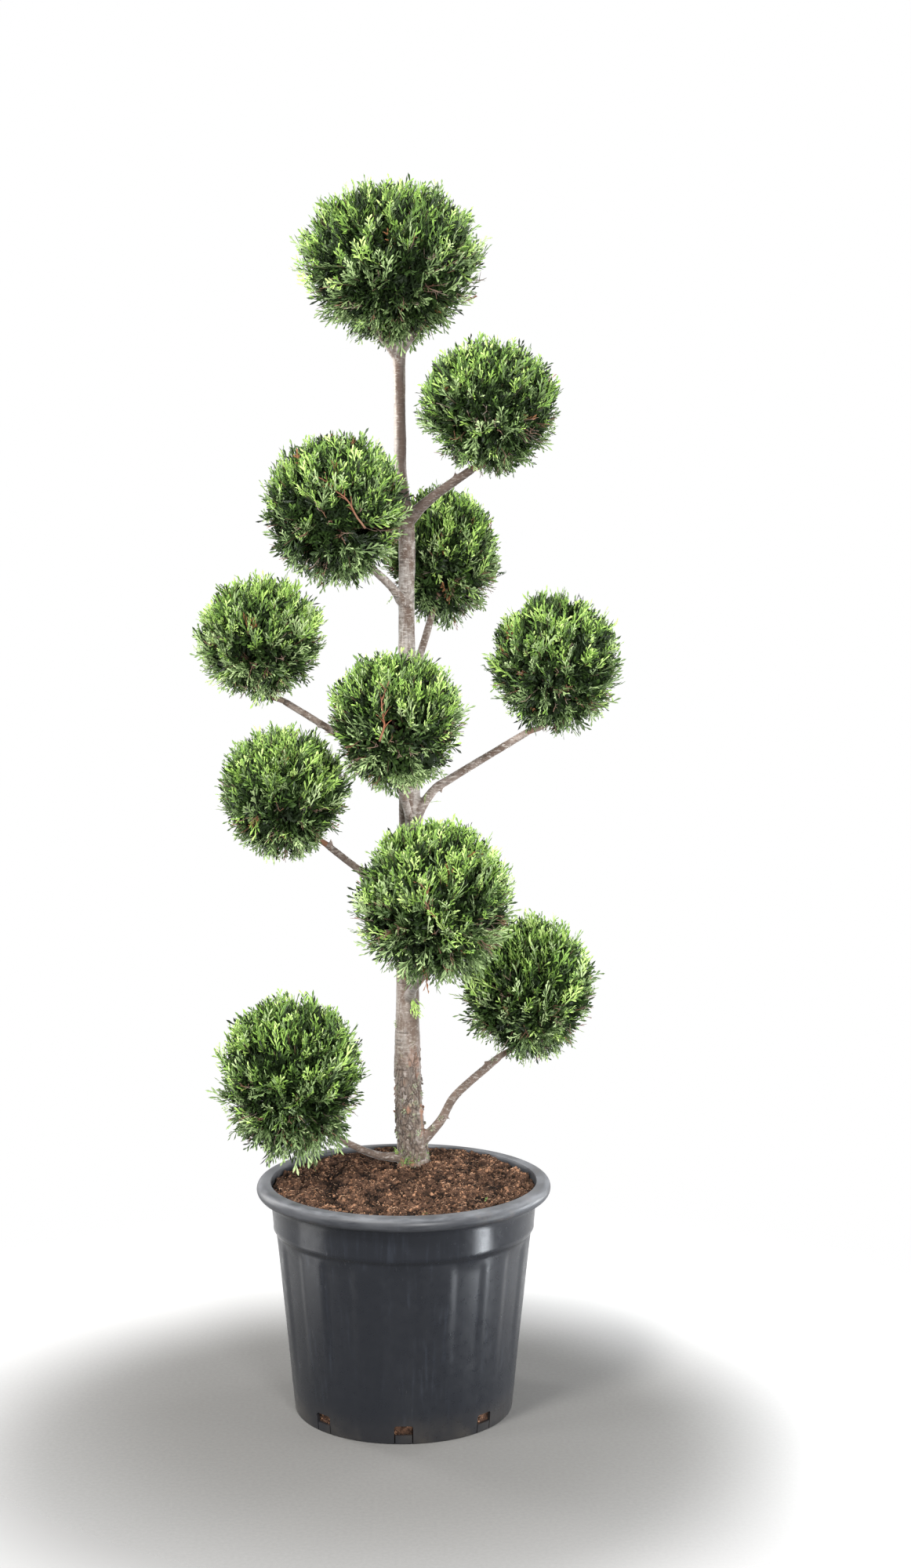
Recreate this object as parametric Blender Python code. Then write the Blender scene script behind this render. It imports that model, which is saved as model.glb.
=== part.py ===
"""A Leyland cypress trained as a pom-pom tree, in a round nursery pot.

One trunk leaves the growing medium and forks at its tip. Ten boughs leave it, and each carries
one clipped ball of foliage. The eleventh ball sits on the fork. Lengths are in metres, +Z is up,
-Y is the front, and the origin is the middle of the pot's flat underside.
"""

import math
import random
from collections import namedtuple

import bmesh
import bpy
import numpy as np
from mathutils import Vector, noise

# Clearances: pieces that touch on the real plant stand this far apart as solids
GAP = 0.0003
LIMB_CLEARANCE = 0.004

# Edges sharper than this stay crisp on the round pieces
SHARP_ANGLE = math.radians(50)

# Pot: a tapered wall with shallow flutes, a plain band and a rolled rim
POT_HEIGHT = 0.338
BASE_RADIUS = 0.162
WALL_TOP_Z = 0.262
WALL_TOP_RADIUS = 0.1905
BAND_STEP_Z = 0.2695
BAND_LOW_Z = 0.2755
BAND_LOW_RADIUS = 0.1945
RIM_LOW_Z = 0.3175
BAND_TOP_RADIUS = 0.1985
RIM_RADIUS = 0.2194
MOUTH_RADIUS = 0.1986
LEDGE_RADIUS = 0.1964
WALL_THICKNESS = 0.0045
FLOOR_THICKNESS = 0.004
POT_SEGMENTS = 72
FLUTES = 12
FLUTE_DEPTH = 0.0024
FLUTE_HALF_ANGLE = math.radians(7.5)
FLUTE_FADE_LOW = (0.035, 0.120)
FLUTE_FADE_HIGH = (0.240, 0.254)
RIM_ARC_STEPS = 6

# Drain slots: a window low in the wall, with a slit from each lower corner to the base
DRAIN_SLOTS = 8
SLOT_WIDTH = 0.027
SLOT_LOW_Z = 0.013
SLOT_HIGH_Z = 0.027
SLIT_WIDTH = 0.0016
SLOT_OVERRUN = 0.003

# Growing medium
SOIL_EDGE_Z = 0.3285
SEAT_Z = 0.3430
SEAT_RADIUS = 0.034
SOIL_RINGS = (0.30, 0.65)
SOIL_SEGMENTS = POT_SEGMENTS // 2
SOIL_LUMP = 0.0025
SOIL_LUMPS_PER_METRE = 28.0

# Trunk: (x, y, z, radius) up its centre line, from the flat cut to the fork
TRUNK_SIDES = 12
TRUNK_LINE = (
    (0.0150, 0.067, SEAT_Z + GAP, 0.0250),
    (0.0140, 0.067, 0.358, 0.0228),
    (0.0110, 0.067, 0.385, 0.0214),
    (0.0075, 0.066, 0.420, 0.0203),
    (0.0055, 0.066, 0.480, 0.0196),
    (0.0060, 0.065, 0.560, 0.0168),
    (0.0070, 0.065, 0.700, 0.0166),
    (0.0085, 0.065, 0.850, 0.0174),
    (0.0080, 0.065, 0.960, 0.0158),
    (0.0045, 0.065, 1.100, 0.0138),
    (0.0010, 0.065, 1.200, 0.0138),
    (0.0035, 0.065, 1.290, 0.0142),
    (0.0015, 0.065, 1.335, 0.0138),
    (-0.0055, 0.065, 1.385, 0.0116),
    (-0.0090, 0.065, 1.460, 0.0118),
    (-0.0100, 0.065, 1.540, 0.0118),
    (-0.0085, 0.066, 1.572, 0.0140),
    (-0.0080, 0.066, 1.588, 0.0150),
)
FLARE_TOP_Z = 0.40
FLARE_LOBES = 3
FLARE_LOBE_SHARE = 0.07
FORK_START = (-0.009, 0.066, 1.560)
FORK_ARMS = (
    (-0.0400, 0.060, 1.6105, 0.0070),
    (0.0150, 0.058, 1.6080, 0.0072),
    (-0.0110, 0.086, 1.6110, 0.0080),
)
FORK_ARM_ROOT_RADIUS = 0.0098
FORK_ARM_BEND = 0.003
FORK_ARM_SIDES = 8
FORK_ARM_STEPS = 3

# Boughs: radii at root and tip, then the centre line from the trunk's middle to the tip
BOUGH_SIDES = 8
BOUGH_STEPS = 7
Bough = namedtuple("Bough", "root_radius tip_radius line")
BOUGHS = {
    2: Bough(0.0085, 0.0065, ((0.002, 0.065, 1.322), (0.047, 0.050, 1.361), (0.104, 0.031, 1.400))),
    3: Bough(0.0070, 0.0060, ((0.003, 0.062, 1.196), (-0.020, 0.028, 1.224), (-0.046, 0.000, 1.249))),
    4: Bough(0.0068, 0.0055, ((0.008, 0.068, 1.075), (0.025, 0.100, 1.120), (0.044, 0.130, 1.182))),
    5: Bough(0.0064, 0.0054, ((0.007, 0.066, 0.936), (-0.090, 0.082, 0.992), (-0.184, 0.089, 1.049))),
    6: Bough(
        0.0076,
        0.0055,
        ((0.010, 0.064, 0.860), (0.043, 0.056, 0.912), (0.075, 0.050, 0.935), (0.187, 0.036, 1.004)),
    ),
    7: Bough(0.0066, 0.0058, ((0.012, 0.060, 0.845), (0.006, 0.015, 0.885), (-0.005, -0.030, 0.927))),
    8: Bough(0.0064, 0.0055, ((0.006, 0.065, 0.730), (-0.062, 0.060, 0.788), (-0.118, 0.055, 0.833))),
    9: Bough(0.0068, 0.0060, ((0.006, 0.062, 0.596), (0.016, 0.018, 0.622), (0.033, -0.026, 0.650))),
    10: Bough(
        0.0080,
        0.0060,
        ((0.012, 0.067, 0.362), (0.054, 0.066, 0.406), (0.080, 0.065, 0.449), (0.146, 0.060, 0.508)),
    ),
    11: Bough(
        0.0062,
        0.0054,
        ((0.010, 0.064, 0.3545), (-0.030, 0.057, 0.3565), (-0.065, 0.047, 0.370), (-0.110, 0.031, 0.397)),
    ),
}

# Clipped balls: centre, half sizes across, deep and tall, and how far the lower half draws in
Ball = namedtuple("Ball", "centre half narrow")
BALLS = {
    1: Ball((-0.018, 0.065, 1.712), (0.144, 0.140, 0.123), 0.50),
    2: Ball((0.128, 0.020, 1.489), (0.109, 0.108, 0.101), 0.10),
    3: Ball((-0.101, -0.030, 1.335), (0.110, 0.108, 0.114), 0.12),
    4: Ball((0.061, 0.160, 1.270), (0.091, 0.088, 0.111), 0.10),
    5: Ball((-0.220, 0.090, 1.142), (0.100, 0.098, 0.097), 0.15),
    6: Ball((0.227, 0.030, 1.106), (0.102, 0.100, 0.106), 0.20),
    7: Ball((-0.011, -0.070, 1.024), (0.103, 0.100, 0.104), 0.15),
    8: Ball((-0.180, 0.050, 0.909), (0.100, 0.098, 0.100), 0.12),
    9: Ball((0.044, -0.090, 0.763), (0.121, 0.118, 0.119), 0.10),
    10: Ball((0.189, 0.060, 0.609), (0.106, 0.104, 0.111), 0.15),
    11: Ball((-0.169, 0.010, 0.489), (0.112, 0.110, 0.121), 0.10),
}
CORE_SHARE = 0.74
CORE_LUMP = 0.16
CORE_LUMP_SCALE = 2.2

# Twigs: the stem forks near the middle, first twigs leave there, and second twigs leave those
FIRST_TWIGS = 7
STEM_FORK_SHARE = 0.15
SECOND_FORK_SHARE = 0.45
FIRST_TWIG_SHARE = 0.54
STEM_BEND_SHARE = 0.35
STEM_SIDES = 6
STEM_STEPS = 4
TWIG_SIDES = 3
FORK_TWIG_RADIUS = 0.0035
TWIG_RADIUS = 0.0022
TWIG_TIP_RADIUS = 0.0011

# Sprays: how many for each metre of a ball's radius, and how each stands on its twig
SPRAYS_PER_METRE = 236
DIRECTION_SHIFT = 0.10
SPRAY_ROOT_SHARE = 0.50
SPRAY_TWIG_SHARE = 0.20
SPRAY_REACH = (0.97, 1.03)
SPRAY_WIDTH_SHARE = 0.74
SPRAY_THICKNESS = 0.0022
SPRAY_LIFT = 0.33
SPRAY_TOP_LIFT = 0.22
SPRAY_SWAY = 0.50
SPRAY_TURN = 1.2
STEM_KEEP_OUT = math.radians(26)
NEIGHBOUR_SHARE = 1.04

# Toothed outline of one spray, from its root to its tip: share of length, share of half width
SPRAY_OUTLINE = ((0.0, 0.0), (0.64, 1.0), (0.59, 0.46), (0.88, 0.66), (0.80, 0.24), (1.0, 0.0))
SPRAY_MIDDLE = 0.48

GOLDEN_ANGLE = math.pi * (3.0 - math.sqrt(5.0))


def clear_scene():
    for obj in list(bpy.data.objects):
        bpy.data.objects.remove(obj)


def material(name, colour, roughness):
    made = bpy.data.materials.new(name)
    made.use_nodes = True
    shader = made.node_tree.nodes["Principled BSDF"]
    shader.inputs["Base Color"].default_value = (*colour, 1.0)
    shader.inputs["Roughness"].default_value = roughness
    shader.inputs["Metallic"].default_value = 0.0
    made.diffuse_color = (*colour, 1.0)
    return made


def new_object(name, bm, location, finish, collection=None):
    """Turns the bmesh into a named object whose mesh is measured from this location."""
    bmesh.ops.recalc_face_normals(bm, faces=bm.faces)
    mesh = bpy.data.meshes.new(name)
    bm.to_mesh(mesh)
    bm.free()
    mesh.materials.append(finish)
    obj = bpy.data.objects.new(name, mesh)
    obj.location = location
    (collection or bpy.context.scene.collection).objects.link(obj)
    return obj


def shade_round(obj):
    obj.data.shade_smooth()
    obj.data.set_sharp_from_angle(angle=SHARP_ANGLE)


def smoothstep(value, low, high):
    share = min(max((value - low) / (high - low), 0.0), 1.0)
    return share * share * (3.0 - 2.0 * share)


def apply_modifiers(obj):
    bpy.context.view_layer.update()
    graph = bpy.context.evaluated_depsgraph_get()
    made = bpy.data.meshes.new_from_object(obj.evaluated_get(graph))
    obj.modifiers.clear()
    old = obj.data
    obj.data = made
    made.name = obj.name
    bpy.data.meshes.remove(old)


def keep_main_body(obj):
    """Drops loose scraps, and fills sealed hollows by dropping their walls."""
    bm = bmesh.new()
    bm.from_mesh(obj.data)
    bm.verts.ensure_lookup_table()
    left = set(bm.verts)
    groups = []
    while left:
        start = left.pop()
        group = [start]
        for vert in group:
            for edge in vert.link_edges:
                other = edge.other_vert(vert)
                if other in left:
                    left.remove(other)
                    group.append(other)
        groups.append(group)
    largest = max(groups, key=len)
    unwanted = [vert for group in groups if group is not largest for vert in group]
    bmesh.ops.delete(bm, geom=unwanted, context="VERTS")
    bm.to_mesh(obj.data)
    bm.free()


def revolve(profile, segments, start_angle, radius_change=None):
    """A closed turned body: profile runs from the axis, round the section and back to the axis."""
    bm = bmesh.new()
    rings = []
    for row, (radius, z) in enumerate(profile):
        if radius == 0.0:
            rings.append([bm.verts.new((0.0, 0.0, z))])
            continue
        ring = []
        for i in range(segments):
            angle = start_angle + 2.0 * math.pi * i / segments
            here = radius - (radius_change(row, angle, z) if radius_change else 0.0)
            ring.append(bm.verts.new((here * math.sin(angle), -here * math.cos(angle), z)))
        rings.append(ring)
    for lower, upper in zip(rings, rings[1:]):
        for i in range(segments):
            j = (i + 1) % segments
            below = [lower[i % len(lower)], lower[j % len(lower)]]
            above = [upper[j % len(upper)], upper[i % len(upper)]]
            bm.faces.new(list(dict.fromkeys(below + above)))
    return bm


def inner_radius(z):
    """Radius of the pot's plain inner wall."""
    if z < WALL_TOP_Z:
        share = z / WALL_TOP_Z
        return BASE_RADIUS + (WALL_TOP_RADIUS - BASE_RADIUS) * share - WALL_THICKNESS
    share = (z - WALL_TOP_Z) / (RIM_LOW_Z - WALL_TOP_Z)
    return WALL_TOP_RADIUS + (BAND_TOP_RADIUS - WALL_TOP_RADIUS) * share - WALL_THICKNESS


def wall_radius(z):
    return BASE_RADIUS + (WALL_TOP_RADIUS - BASE_RADIUS) * z / WALL_TOP_Z


def rim_arc():
    """The rolled rim, from its lower outer edge over the top to the mouth."""
    middle_z = 0.5 * (RIM_LOW_Z + POT_HEIGHT)
    half_tall = POT_HEIGHT - middle_z
    middle_radius = RIM_RADIUS - half_tall
    points = []
    for i in range(RIM_ARC_STEPS + 1):
        angle = -0.5 * math.pi + math.pi * i / RIM_ARC_STEPS
        points.append((middle_radius + half_tall * math.cos(angle), middle_z + half_tall * math.sin(angle)))
    return points


def flute_depth(angle, z):
    """How far a flute draws the wall in at this angle and height."""
    pitch = 2.0 * math.pi / FLUTES
    off = abs((angle + 0.5 * pitch) % pitch - 0.5 * pitch)
    if off > FLUTE_HALF_ANGLE - 1e-6:
        return 0.0
    fade = smoothstep(z, *FLUTE_FADE_LOW) * (1.0 - smoothstep(z, *FLUTE_FADE_HIGH))
    return FLUTE_DEPTH * fade


def make_pot(finish):
    fades = [(low, 0.5 * (low + high), high) for low, high in (FLUTE_FADE_LOW, FLUTE_FADE_HIGH)]
    outer = [(wall_radius(z), z) for z in (0.0, *fades[0], *fades[1])]
    fluted_rows = range(1, len(outer) + 1)
    outer += [(WALL_TOP_RADIUS, WALL_TOP_Z), (BAND_LOW_RADIUS, BAND_STEP_Z), (BAND_LOW_RADIUS, BAND_LOW_Z)]
    outer += [(BAND_TOP_RADIUS, RIM_LOW_Z)]
    inner = [(MOUTH_RADIUS, POT_HEIGHT), (LEDGE_RADIUS, RIM_LOW_Z)]
    inner += [(inner_radius(z), z) for z in (WALL_TOP_Z, FLOOR_THICKNESS)]
    profile = [(0.0, 0.0), *outer, *rim_arc(), *inner, (0.0, FLOOR_THICKNESS)]

    def flutes(row, angle, z):
        return flute_depth(angle, z) if row in fluted_rows else 0.0

    half_step = math.pi / POT_SEGMENTS
    pot = new_object("pot", revolve(profile, POT_SEGMENTS, half_step, flutes), (0.0, 0.0, 0.0), finish)
    for i in range(DRAIN_SLOTS):
        cut(pot, slot_cutter(2.0 * math.pi * i / DRAIN_SLOTS, finish))
    apply_modifiers(pot)
    for obj in [o for o in bpy.data.objects if o.name.startswith("slot_cutter")]:
        bpy.data.objects.remove(obj)
    shade_round(pot)
    return pot


def slot_cutter(angle, finish):
    """A window with two slits below it, as a prism that points away from the pot's axis."""
    half = 0.5 * SLOT_WIDTH
    below = -SLOT_OVERRUN
    outline = (
        (-half, below),
        (-half + SLIT_WIDTH, below),
        (-half + SLIT_WIDTH, SLOT_LOW_Z),
        (half - SLIT_WIDTH, SLOT_LOW_Z),
        (half - SLIT_WIDTH, below),
        (half, below),
        (half, SLOT_HIGH_Z),
        (-half, SLOT_HIGH_Z),
    )
    near, far = inner_radius(0.0) - SLOT_OVERRUN, BASE_RADIUS + SLOT_OVERRUN
    bm = bmesh.new()
    front = [bm.verts.new((x, -far, z)) for x, z in outline]
    back = [bm.verts.new((x, -near, z)) for x, z in outline]
    bm.faces.new(front)
    bm.faces.new(back[::-1])
    for i in range(len(outline)):
        j = (i + 1) % len(outline)
        bm.faces.new((front[i], back[i], back[j], front[j]))
    cutter = new_object("slot_cutter", bm, (0.0, 0.0, 0.0), finish)
    cutter.rotation_euler.z = angle
    cutter.hide_render = True
    cutter.display_type = "WIRE"
    return cutter


def cut(obj, cutter):
    modifier = obj.modifiers.new("cut", "BOOLEAN")
    modifier.operation = "DIFFERENCE"
    modifier.object = cutter


def make_soil(finish):
    """The growing medium: it fills the pot and rises to a flat seat under the trunk."""
    foot = Vector(TRUNK_LINE[0][:2])
    half_step = math.pi / POT_SEGMENTS
    angles = [half_step + 2.0 * math.pi * i / SOIL_SEGMENTS for i in range(SOIL_SEGMENTS)]
    round_wall = [Vector((math.sin(a), -math.cos(a))) for a in angles]
    edge_radius = inner_radius(SOIL_EDGE_Z) - GAP
    bm = bmesh.new()
    top = bm.verts.new((foot.x, foot.y, SEAT_Z))
    seat = [foot + SEAT_RADIUS * d for d in round_wall]
    rings = [[bm.verts.new((spot.x, spot.y, SEAT_Z)) for spot in seat]]
    for share in SOIL_RINGS:
        ring = []
        for inner, d in zip(seat, round_wall):
            spot = inner.lerp(edge_radius * d, share)
            lump = SOIL_LUMP * noise.noise(SOIL_LUMPS_PER_METRE * Vector((spot.x, spot.y, 0.0)))
            z = SOIL_EDGE_Z + (SEAT_Z - SOIL_EDGE_Z) * (1.0 - smoothstep(share, 0.0, 1.0)) + lump
            ring.append(bm.verts.new((spot.x, spot.y, z)))
        rings.append(ring)
    for z in (SOIL_EDGE_Z, WALL_TOP_Z, FLOOR_THICKNESS + GAP):
        radius = inner_radius(z) - GAP
        rings.append([bm.verts.new((radius * d.x, radius * d.y, z)) for d in round_wall])
    bottom = bm.verts.new((0.0, 0.0, FLOOR_THICKNESS + GAP))
    for i in range(SOIL_SEGMENTS):
        j = (i + 1) % SOIL_SEGMENTS
        bm.faces.new((top, rings[0][i], rings[0][j]))
        bm.faces.new((bottom, rings[-1][j], rings[-1][i]))
        for inner, outer in zip(rings, rings[1:]):
            bm.faces.new((inner[i], outer[i], outer[j], inner[j]))
    soil = new_object("soil", bm, (0.0, 0.0, 0.0), finish)
    shade_round(soil)
    return soil


def smooth_line(points, steps):
    """Points evenly shared along a Catmull-Rom curve through the given ones."""
    points = [np.array(p, float) for p in points]
    padded = [2.0 * points[0] - points[1], *points, 2.0 * points[-1] - points[-2]]
    spans = len(points) - 1
    line = []
    for i in range(steps + 1):
        place = spans * i / steps
        span = min(int(place), spans - 1)
        t = place - span
        a, b, c, d = padded[span : span + 4]
        square = 2.0 * a - 5.0 * b + 4.0 * c - d
        cube = 3.0 * b - a - 3.0 * c + d
        line.append(0.5 * (2.0 * b + (c - a) * t + square * t**2 + cube * t**3))
    return line


def tube(centres, radii, sides, first_tangent=None, last_tangent=None, swell=None):
    """A closed tapering tube through the centres, in the coordinates of the first one."""
    origin = np.array(centres[0], float)
    places = [np.array(c, float) - origin for c in centres]
    bm = bmesh.new()
    side = None
    rings = []
    for i, place in enumerate(places):
        tangent = places[min(i + 1, len(places) - 1)] - places[max(i - 1, 0)]
        if i == 0 and first_tangent is not None:
            tangent = np.array(first_tangent, float)
        if i == len(places) - 1 and last_tangent is not None:
            tangent = np.array(last_tangent, float)
        tangent = tangent / np.linalg.norm(tangent)
        if side is None:
            side = np.cross(tangent, (0.0, 1.0, 0.0) if abs(tangent[1]) < 0.9 else (1.0, 0.0, 0.0))
        side = side - tangent * side.dot(tangent)
        side = side / np.linalg.norm(side)
        across = np.cross(tangent, side)
        ring = []
        for k in range(sides):
            angle = 2.0 * math.pi * k / sides
            radius = radii[i] * (swell(place + origin, angle) if swell else 1.0)
            spot = place + radius * (math.cos(angle) * side + math.sin(angle) * across)
            ring.append(bm.verts.new(spot))
        rings.append(ring)
    bm.faces.new(rings[0])
    bm.faces.new(rings[-1])
    for lower, upper in zip(rings, rings[1:]):
        for k in range(sides):
            j = (k + 1) % sides
            bm.faces.new((lower[k], lower[j], upper[j], upper[k]))
    return bm


def root_flare(spot, angle):
    """Low lobes where the roots start, gone by the top of the flare."""
    share = 1.0 - smoothstep(spot[2], SEAT_Z, FLARE_TOP_Z)
    return 1.0 + FLARE_LOBE_SHARE * share * math.cos(FLARE_LOBES * angle)


def make_trunk(name, finish, grown=0.0):
    """The trunk with its fork's arms fused on. A grown copy is the space that the others keep out of."""
    up = (0.0, 0.0, 1.0)
    centres = [row[:3] for row in TRUNK_LINE]
    radii = [row[3] + grown for row in TRUNK_LINE]
    trunk = new_object(name, tube(centres, radii, TRUNK_SIDES, up, up, root_flare), centres[0], finish)
    arms = bpy.data.collections.new(name + "_arms")
    bpy.context.scene.collection.children.link(arms)
    for x, y, z, tip_radius in FORK_ARMS:
        start, tip = np.array(FORK_START), np.array((x, y, z))
        bend = 0.5 * (start + tip) + np.array((0.0, 0.0, FORK_ARM_BEND))
        line = smooth_line((start, bend, tip), FORK_ARM_STEPS)
        sizes = np.linspace(FORK_ARM_ROOT_RADIUS, tip_radius, len(line)) + grown
        new_object(name + "_arm", tube(line, sizes, FORK_ARM_SIDES), line[0], finish, arms)
    unite(trunk, arms)
    shade_round(trunk)
    return trunk


def unite(obj, collection, solver="EXACT"):
    """Fuses a collection's pieces into the object and removes them."""
    modifier = obj.modifiers.new("unite", "BOOLEAN")
    modifier.operation = "UNION"
    modifier.operand_type = "COLLECTION"
    modifier.collection = collection
    modifier.solver = solver
    apply_modifiers(obj)
    for piece in list(collection.objects):
        bpy.data.objects.remove(piece)
    bpy.data.collections.remove(collection)
    keep_main_body(obj)


def bough_line(number):
    return smooth_line(BOUGHS[number].line, BOUGH_STEPS)


def bough_radii(number):
    bough = BOUGHS[number]
    return np.linspace(bough.root_radius, bough.tip_radius, BOUGH_STEPS + 1)


def make_bough(number, trunk_space, finish):
    """One tapering limb, cut off at its root where the trunk begins."""
    line = bough_line(number)
    bm = tube(line, bough_radii(number), BOUGH_SIDES)
    bough = new_object(f"bough_{number:02d}", bm, line[0], finish)
    cut(bough, trunk_space)
    apply_modifiers(bough)
    keep_main_body(bough)
    shade_round(bough)
    return bough


def reach(ball, direction):
    """From a ball's centre to its clipped surface, along a unit direction."""
    half = np.array(ball.half)
    offset = half * direction / np.linalg.norm(direction)
    low = min(offset[2] / half[2], 0.0)
    draw_in = 1.0 - ball.narrow * low * low
    return offset * np.array((draw_in, draw_in, 1.0))


def share_of(ball, spot):
    """How far out a point lies in a ball: 1 is on its clipped surface."""
    offset = (np.array(spot) - np.array(ball.centre)) / np.array(ball.half)
    low = min(offset[2], 0.0)
    draw_in = 1.0 - ball.narrow * min(low * low, 1.0)
    return float(np.linalg.norm(offset / np.array((draw_in, draw_in, 1.0))))


def limb_segments():
    """Every limb as (start, end, radius) pieces of its centre line."""
    pieces = []
    for lower, upper in zip(TRUNK_LINE, TRUNK_LINE[1:]):
        pieces.append((np.array(lower[:3]), np.array(upper[:3]), max(lower[3], upper[3])))
    for x, y, z, _ in FORK_ARMS:
        pieces.append((np.array(FORK_START), np.array((x, y, z)), FORK_ARM_ROOT_RADIUS))
    for number in BOUGHS:
        line, radii = bough_line(number), bough_radii(number)
        for i in range(BOUGH_STEPS):
            pieces.append((line[i], line[i + 1], radii[i]))
    return pieces


def is_free(spots, number, limbs):
    """True where the points touch no limb, no other ball and no part of the pot."""
    for spot in spots:
        if math.hypot(spot[0], spot[1]) < RIM_RADIUS + LIMB_CLEARANCE and spot[2] < SEAT_Z + LIMB_CLEARANCE:
            return False
        if any(share_of(other, spot) < NEIGHBOUR_SHARE for key, other in BALLS.items() if key != number):
            return False
        for start, end, radius in limbs:
            along = end - start
            share = min(max((spot - start).dot(along) / along.dot(along), 0.0), 1.0)
            if np.linalg.norm(spot - start - share * along) < radius + LIMB_CLEARANCE:
                return False
    return True


def core_bmesh(ball, number):
    """A lumpy round core, smaller than the ball, that the sprays stand out of."""
    bm = bmesh.new()
    bmesh.ops.create_icosphere(bm, subdivisions=2, radius=1.0)
    for vert in bm.verts:
        direction = np.array(vert.co)
        spot = CORE_LUMP_SCALE * vert.co + Vector((10.0 * number, 0.0, 0.0))
        lump = 1.0 + CORE_LUMP * noise.noise(spot)
        vert.co = reach(ball, direction) * CORE_SHARE * lump
    return bm


def spray_bmesh(root, tip, facing, width):
    """A flat toothed spray, thickest along its middle, in the coordinates of its root."""
    along = tip - root
    length = np.linalg.norm(along)
    along = along / length
    side = np.cross(facing, along)
    side = side / np.linalg.norm(side)
    flat = np.cross(along, side)
    bm = bmesh.new()
    left = [(share * length, half * 0.5 * width) for share, half in SPRAY_OUTLINE]
    right = [(a, -b) for a, b in left[-2:0:-1]]
    edge = [bm.verts.new(a * along + b * side) for a, b in left + right]
    middle = SPRAY_MIDDLE * length * along
    for face_side in (1.0, -1.0):
        apex = bm.verts.new(middle + face_side * SPRAY_THICKNESS * flat)
        for i in range(len(edge)):
            bm.faces.new((edge[i], edge[(i + 1) % len(edge)], apex))
    return bm


def random_vector(rng):
    return np.array([rng.uniform(-1.0, 1.0) for _ in range(3)])


def spray_directions(count, rng):
    """Directions shared evenly over a sphere, each moved a little."""
    turn = rng.uniform(0.0, 2.0 * math.pi)
    found = []
    for i in range(count):
        z = 1.0 - 2.0 * (i + 0.5) / count
        angle = turn + GOLDEN_ANGLE * i
        flat = math.sqrt(1.0 - z * z)
        spot = np.array((flat * math.cos(angle), flat * math.sin(angle), z))
        spot += DIRECTION_SHIFT * random_vector(rng)
        found.append(spot / np.linalg.norm(spot))
    return found


def limb_end(number):
    """Tip, direction and radius of the limb that carries this ball."""
    if number in BOUGHS:
        line = bough_line(number)
        way = line[-1] - line[-2]
        return line[-1], way / np.linalg.norm(way), BOUGHS[number].tip_radius
    *place, radius = FORK_ARMS[-1]
    way = np.array(place) - np.array(FORK_START)
    return np.array(place), way / np.linalg.norm(way), radius


def add_stem(ball, limb, finish, pieces):
    """The ball's own stem: it starts just clear of the limb's tip and bends to the ball's middle."""
    limb_tip, way, radius = limb
    centre = np.array(ball.centre)
    root = limb_tip + GAP * way
    bend = root + STEM_BEND_SHARE * np.linalg.norm(centre - root) * way
    line = smooth_line((root, bend, centre), STEM_STEPS)
    radii = np.linspace(radius, 0.5 * radius, len(line))
    new_object("stem", tube(line, radii, STEM_SIDES, first_tangent=way), line[0], finish, pieces)


def spray_places(number, limbs, stem_side, rng):
    """Root, tip, facing and width of each spray that keeps to its own space, with its direction."""
    ball = BALLS[number]
    centre = np.array(ball.centre)
    size = sum(ball.half) / 3.0
    for way in spray_directions(round(SPRAYS_PER_METRE * size), rng):
        if way.dot(stem_side) > math.cos(STEM_KEEP_OUT):
            continue
        root = centre + SPRAY_ROOT_SHARE * reach(ball, way)
        lift = np.array((0.0, 0.0, SPRAY_LIFT + SPRAY_TOP_LIFT * way[2]))
        aim = way + lift + SPRAY_SWAY * random_vector(rng)
        tip = spray_tip(ball, root, aim / np.linalg.norm(aim), rng.uniform(*SPRAY_REACH))
        facing = way + SPRAY_TURN * random_vector(rng)
        width = SPRAY_WIDTH_SHARE * np.linalg.norm(tip - root)
        side = np.cross(facing, tip - root)
        side = 0.5 * width * side / np.linalg.norm(side)
        middle = 0.5 * (root + tip)
        if is_free((tip, middle, middle + side, middle - side), number, limbs):
            yield way, root, tip, facing, width


def make_ball(number, limbs, trunk_space, leaf, bark):
    """One mass: a stem from the limb's tip, twigs that branch from it, sprays on them, and a core."""
    ball = BALLS[number]
    rng = random.Random(number)
    centre = np.array(ball.centre)
    core = new_object(f"foliage_{number:02d}", core_bmesh(ball, number), ball.centre, leaf)
    pieces = bpy.data.collections.new("pieces")
    bpy.context.scene.collection.children.link(pieces)
    limb = limb_end(number)
    add_stem(ball, limb, bark, pieces)

    stem_side = (limb[0] - centre) / np.linalg.norm(limb[0] - centre)
    stem_fork = centre + STEM_FORK_SHARE * (limb[0] - centre)
    first_ways = spray_directions(FIRST_TWIGS, rng)
    for way in first_ways:
        end = centre + FIRST_TWIG_SHARE * reach(ball, way)
        twig = tube((stem_fork, end), (FORK_TWIG_RADIUS, TWIG_RADIUS), TWIG_SIDES)
        new_object("twig", twig, stem_fork, bark, pieces)
    for way, root, tip, facing, width in spray_places(number, limbs, stem_side, rng):
        fork = centre + SECOND_FORK_SHARE * reach(ball, max(first_ways, key=way.dot))
        end = root + SPRAY_TWIG_SHARE * (tip - root)
        twig = tube((fork, end), (TWIG_RADIUS, TWIG_TIP_RADIUS), TWIG_SIDES)
        new_object("twig", twig, fork, bark, pieces)
        new_object("spray", spray_bmesh(root, tip, facing, width), root, leaf, pieces)
    unite(core, pieces, "MANIFOLD")
    cut(core, trunk_space)
    apply_modifiers(core)
    keep_main_body(core)
    return core


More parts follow.
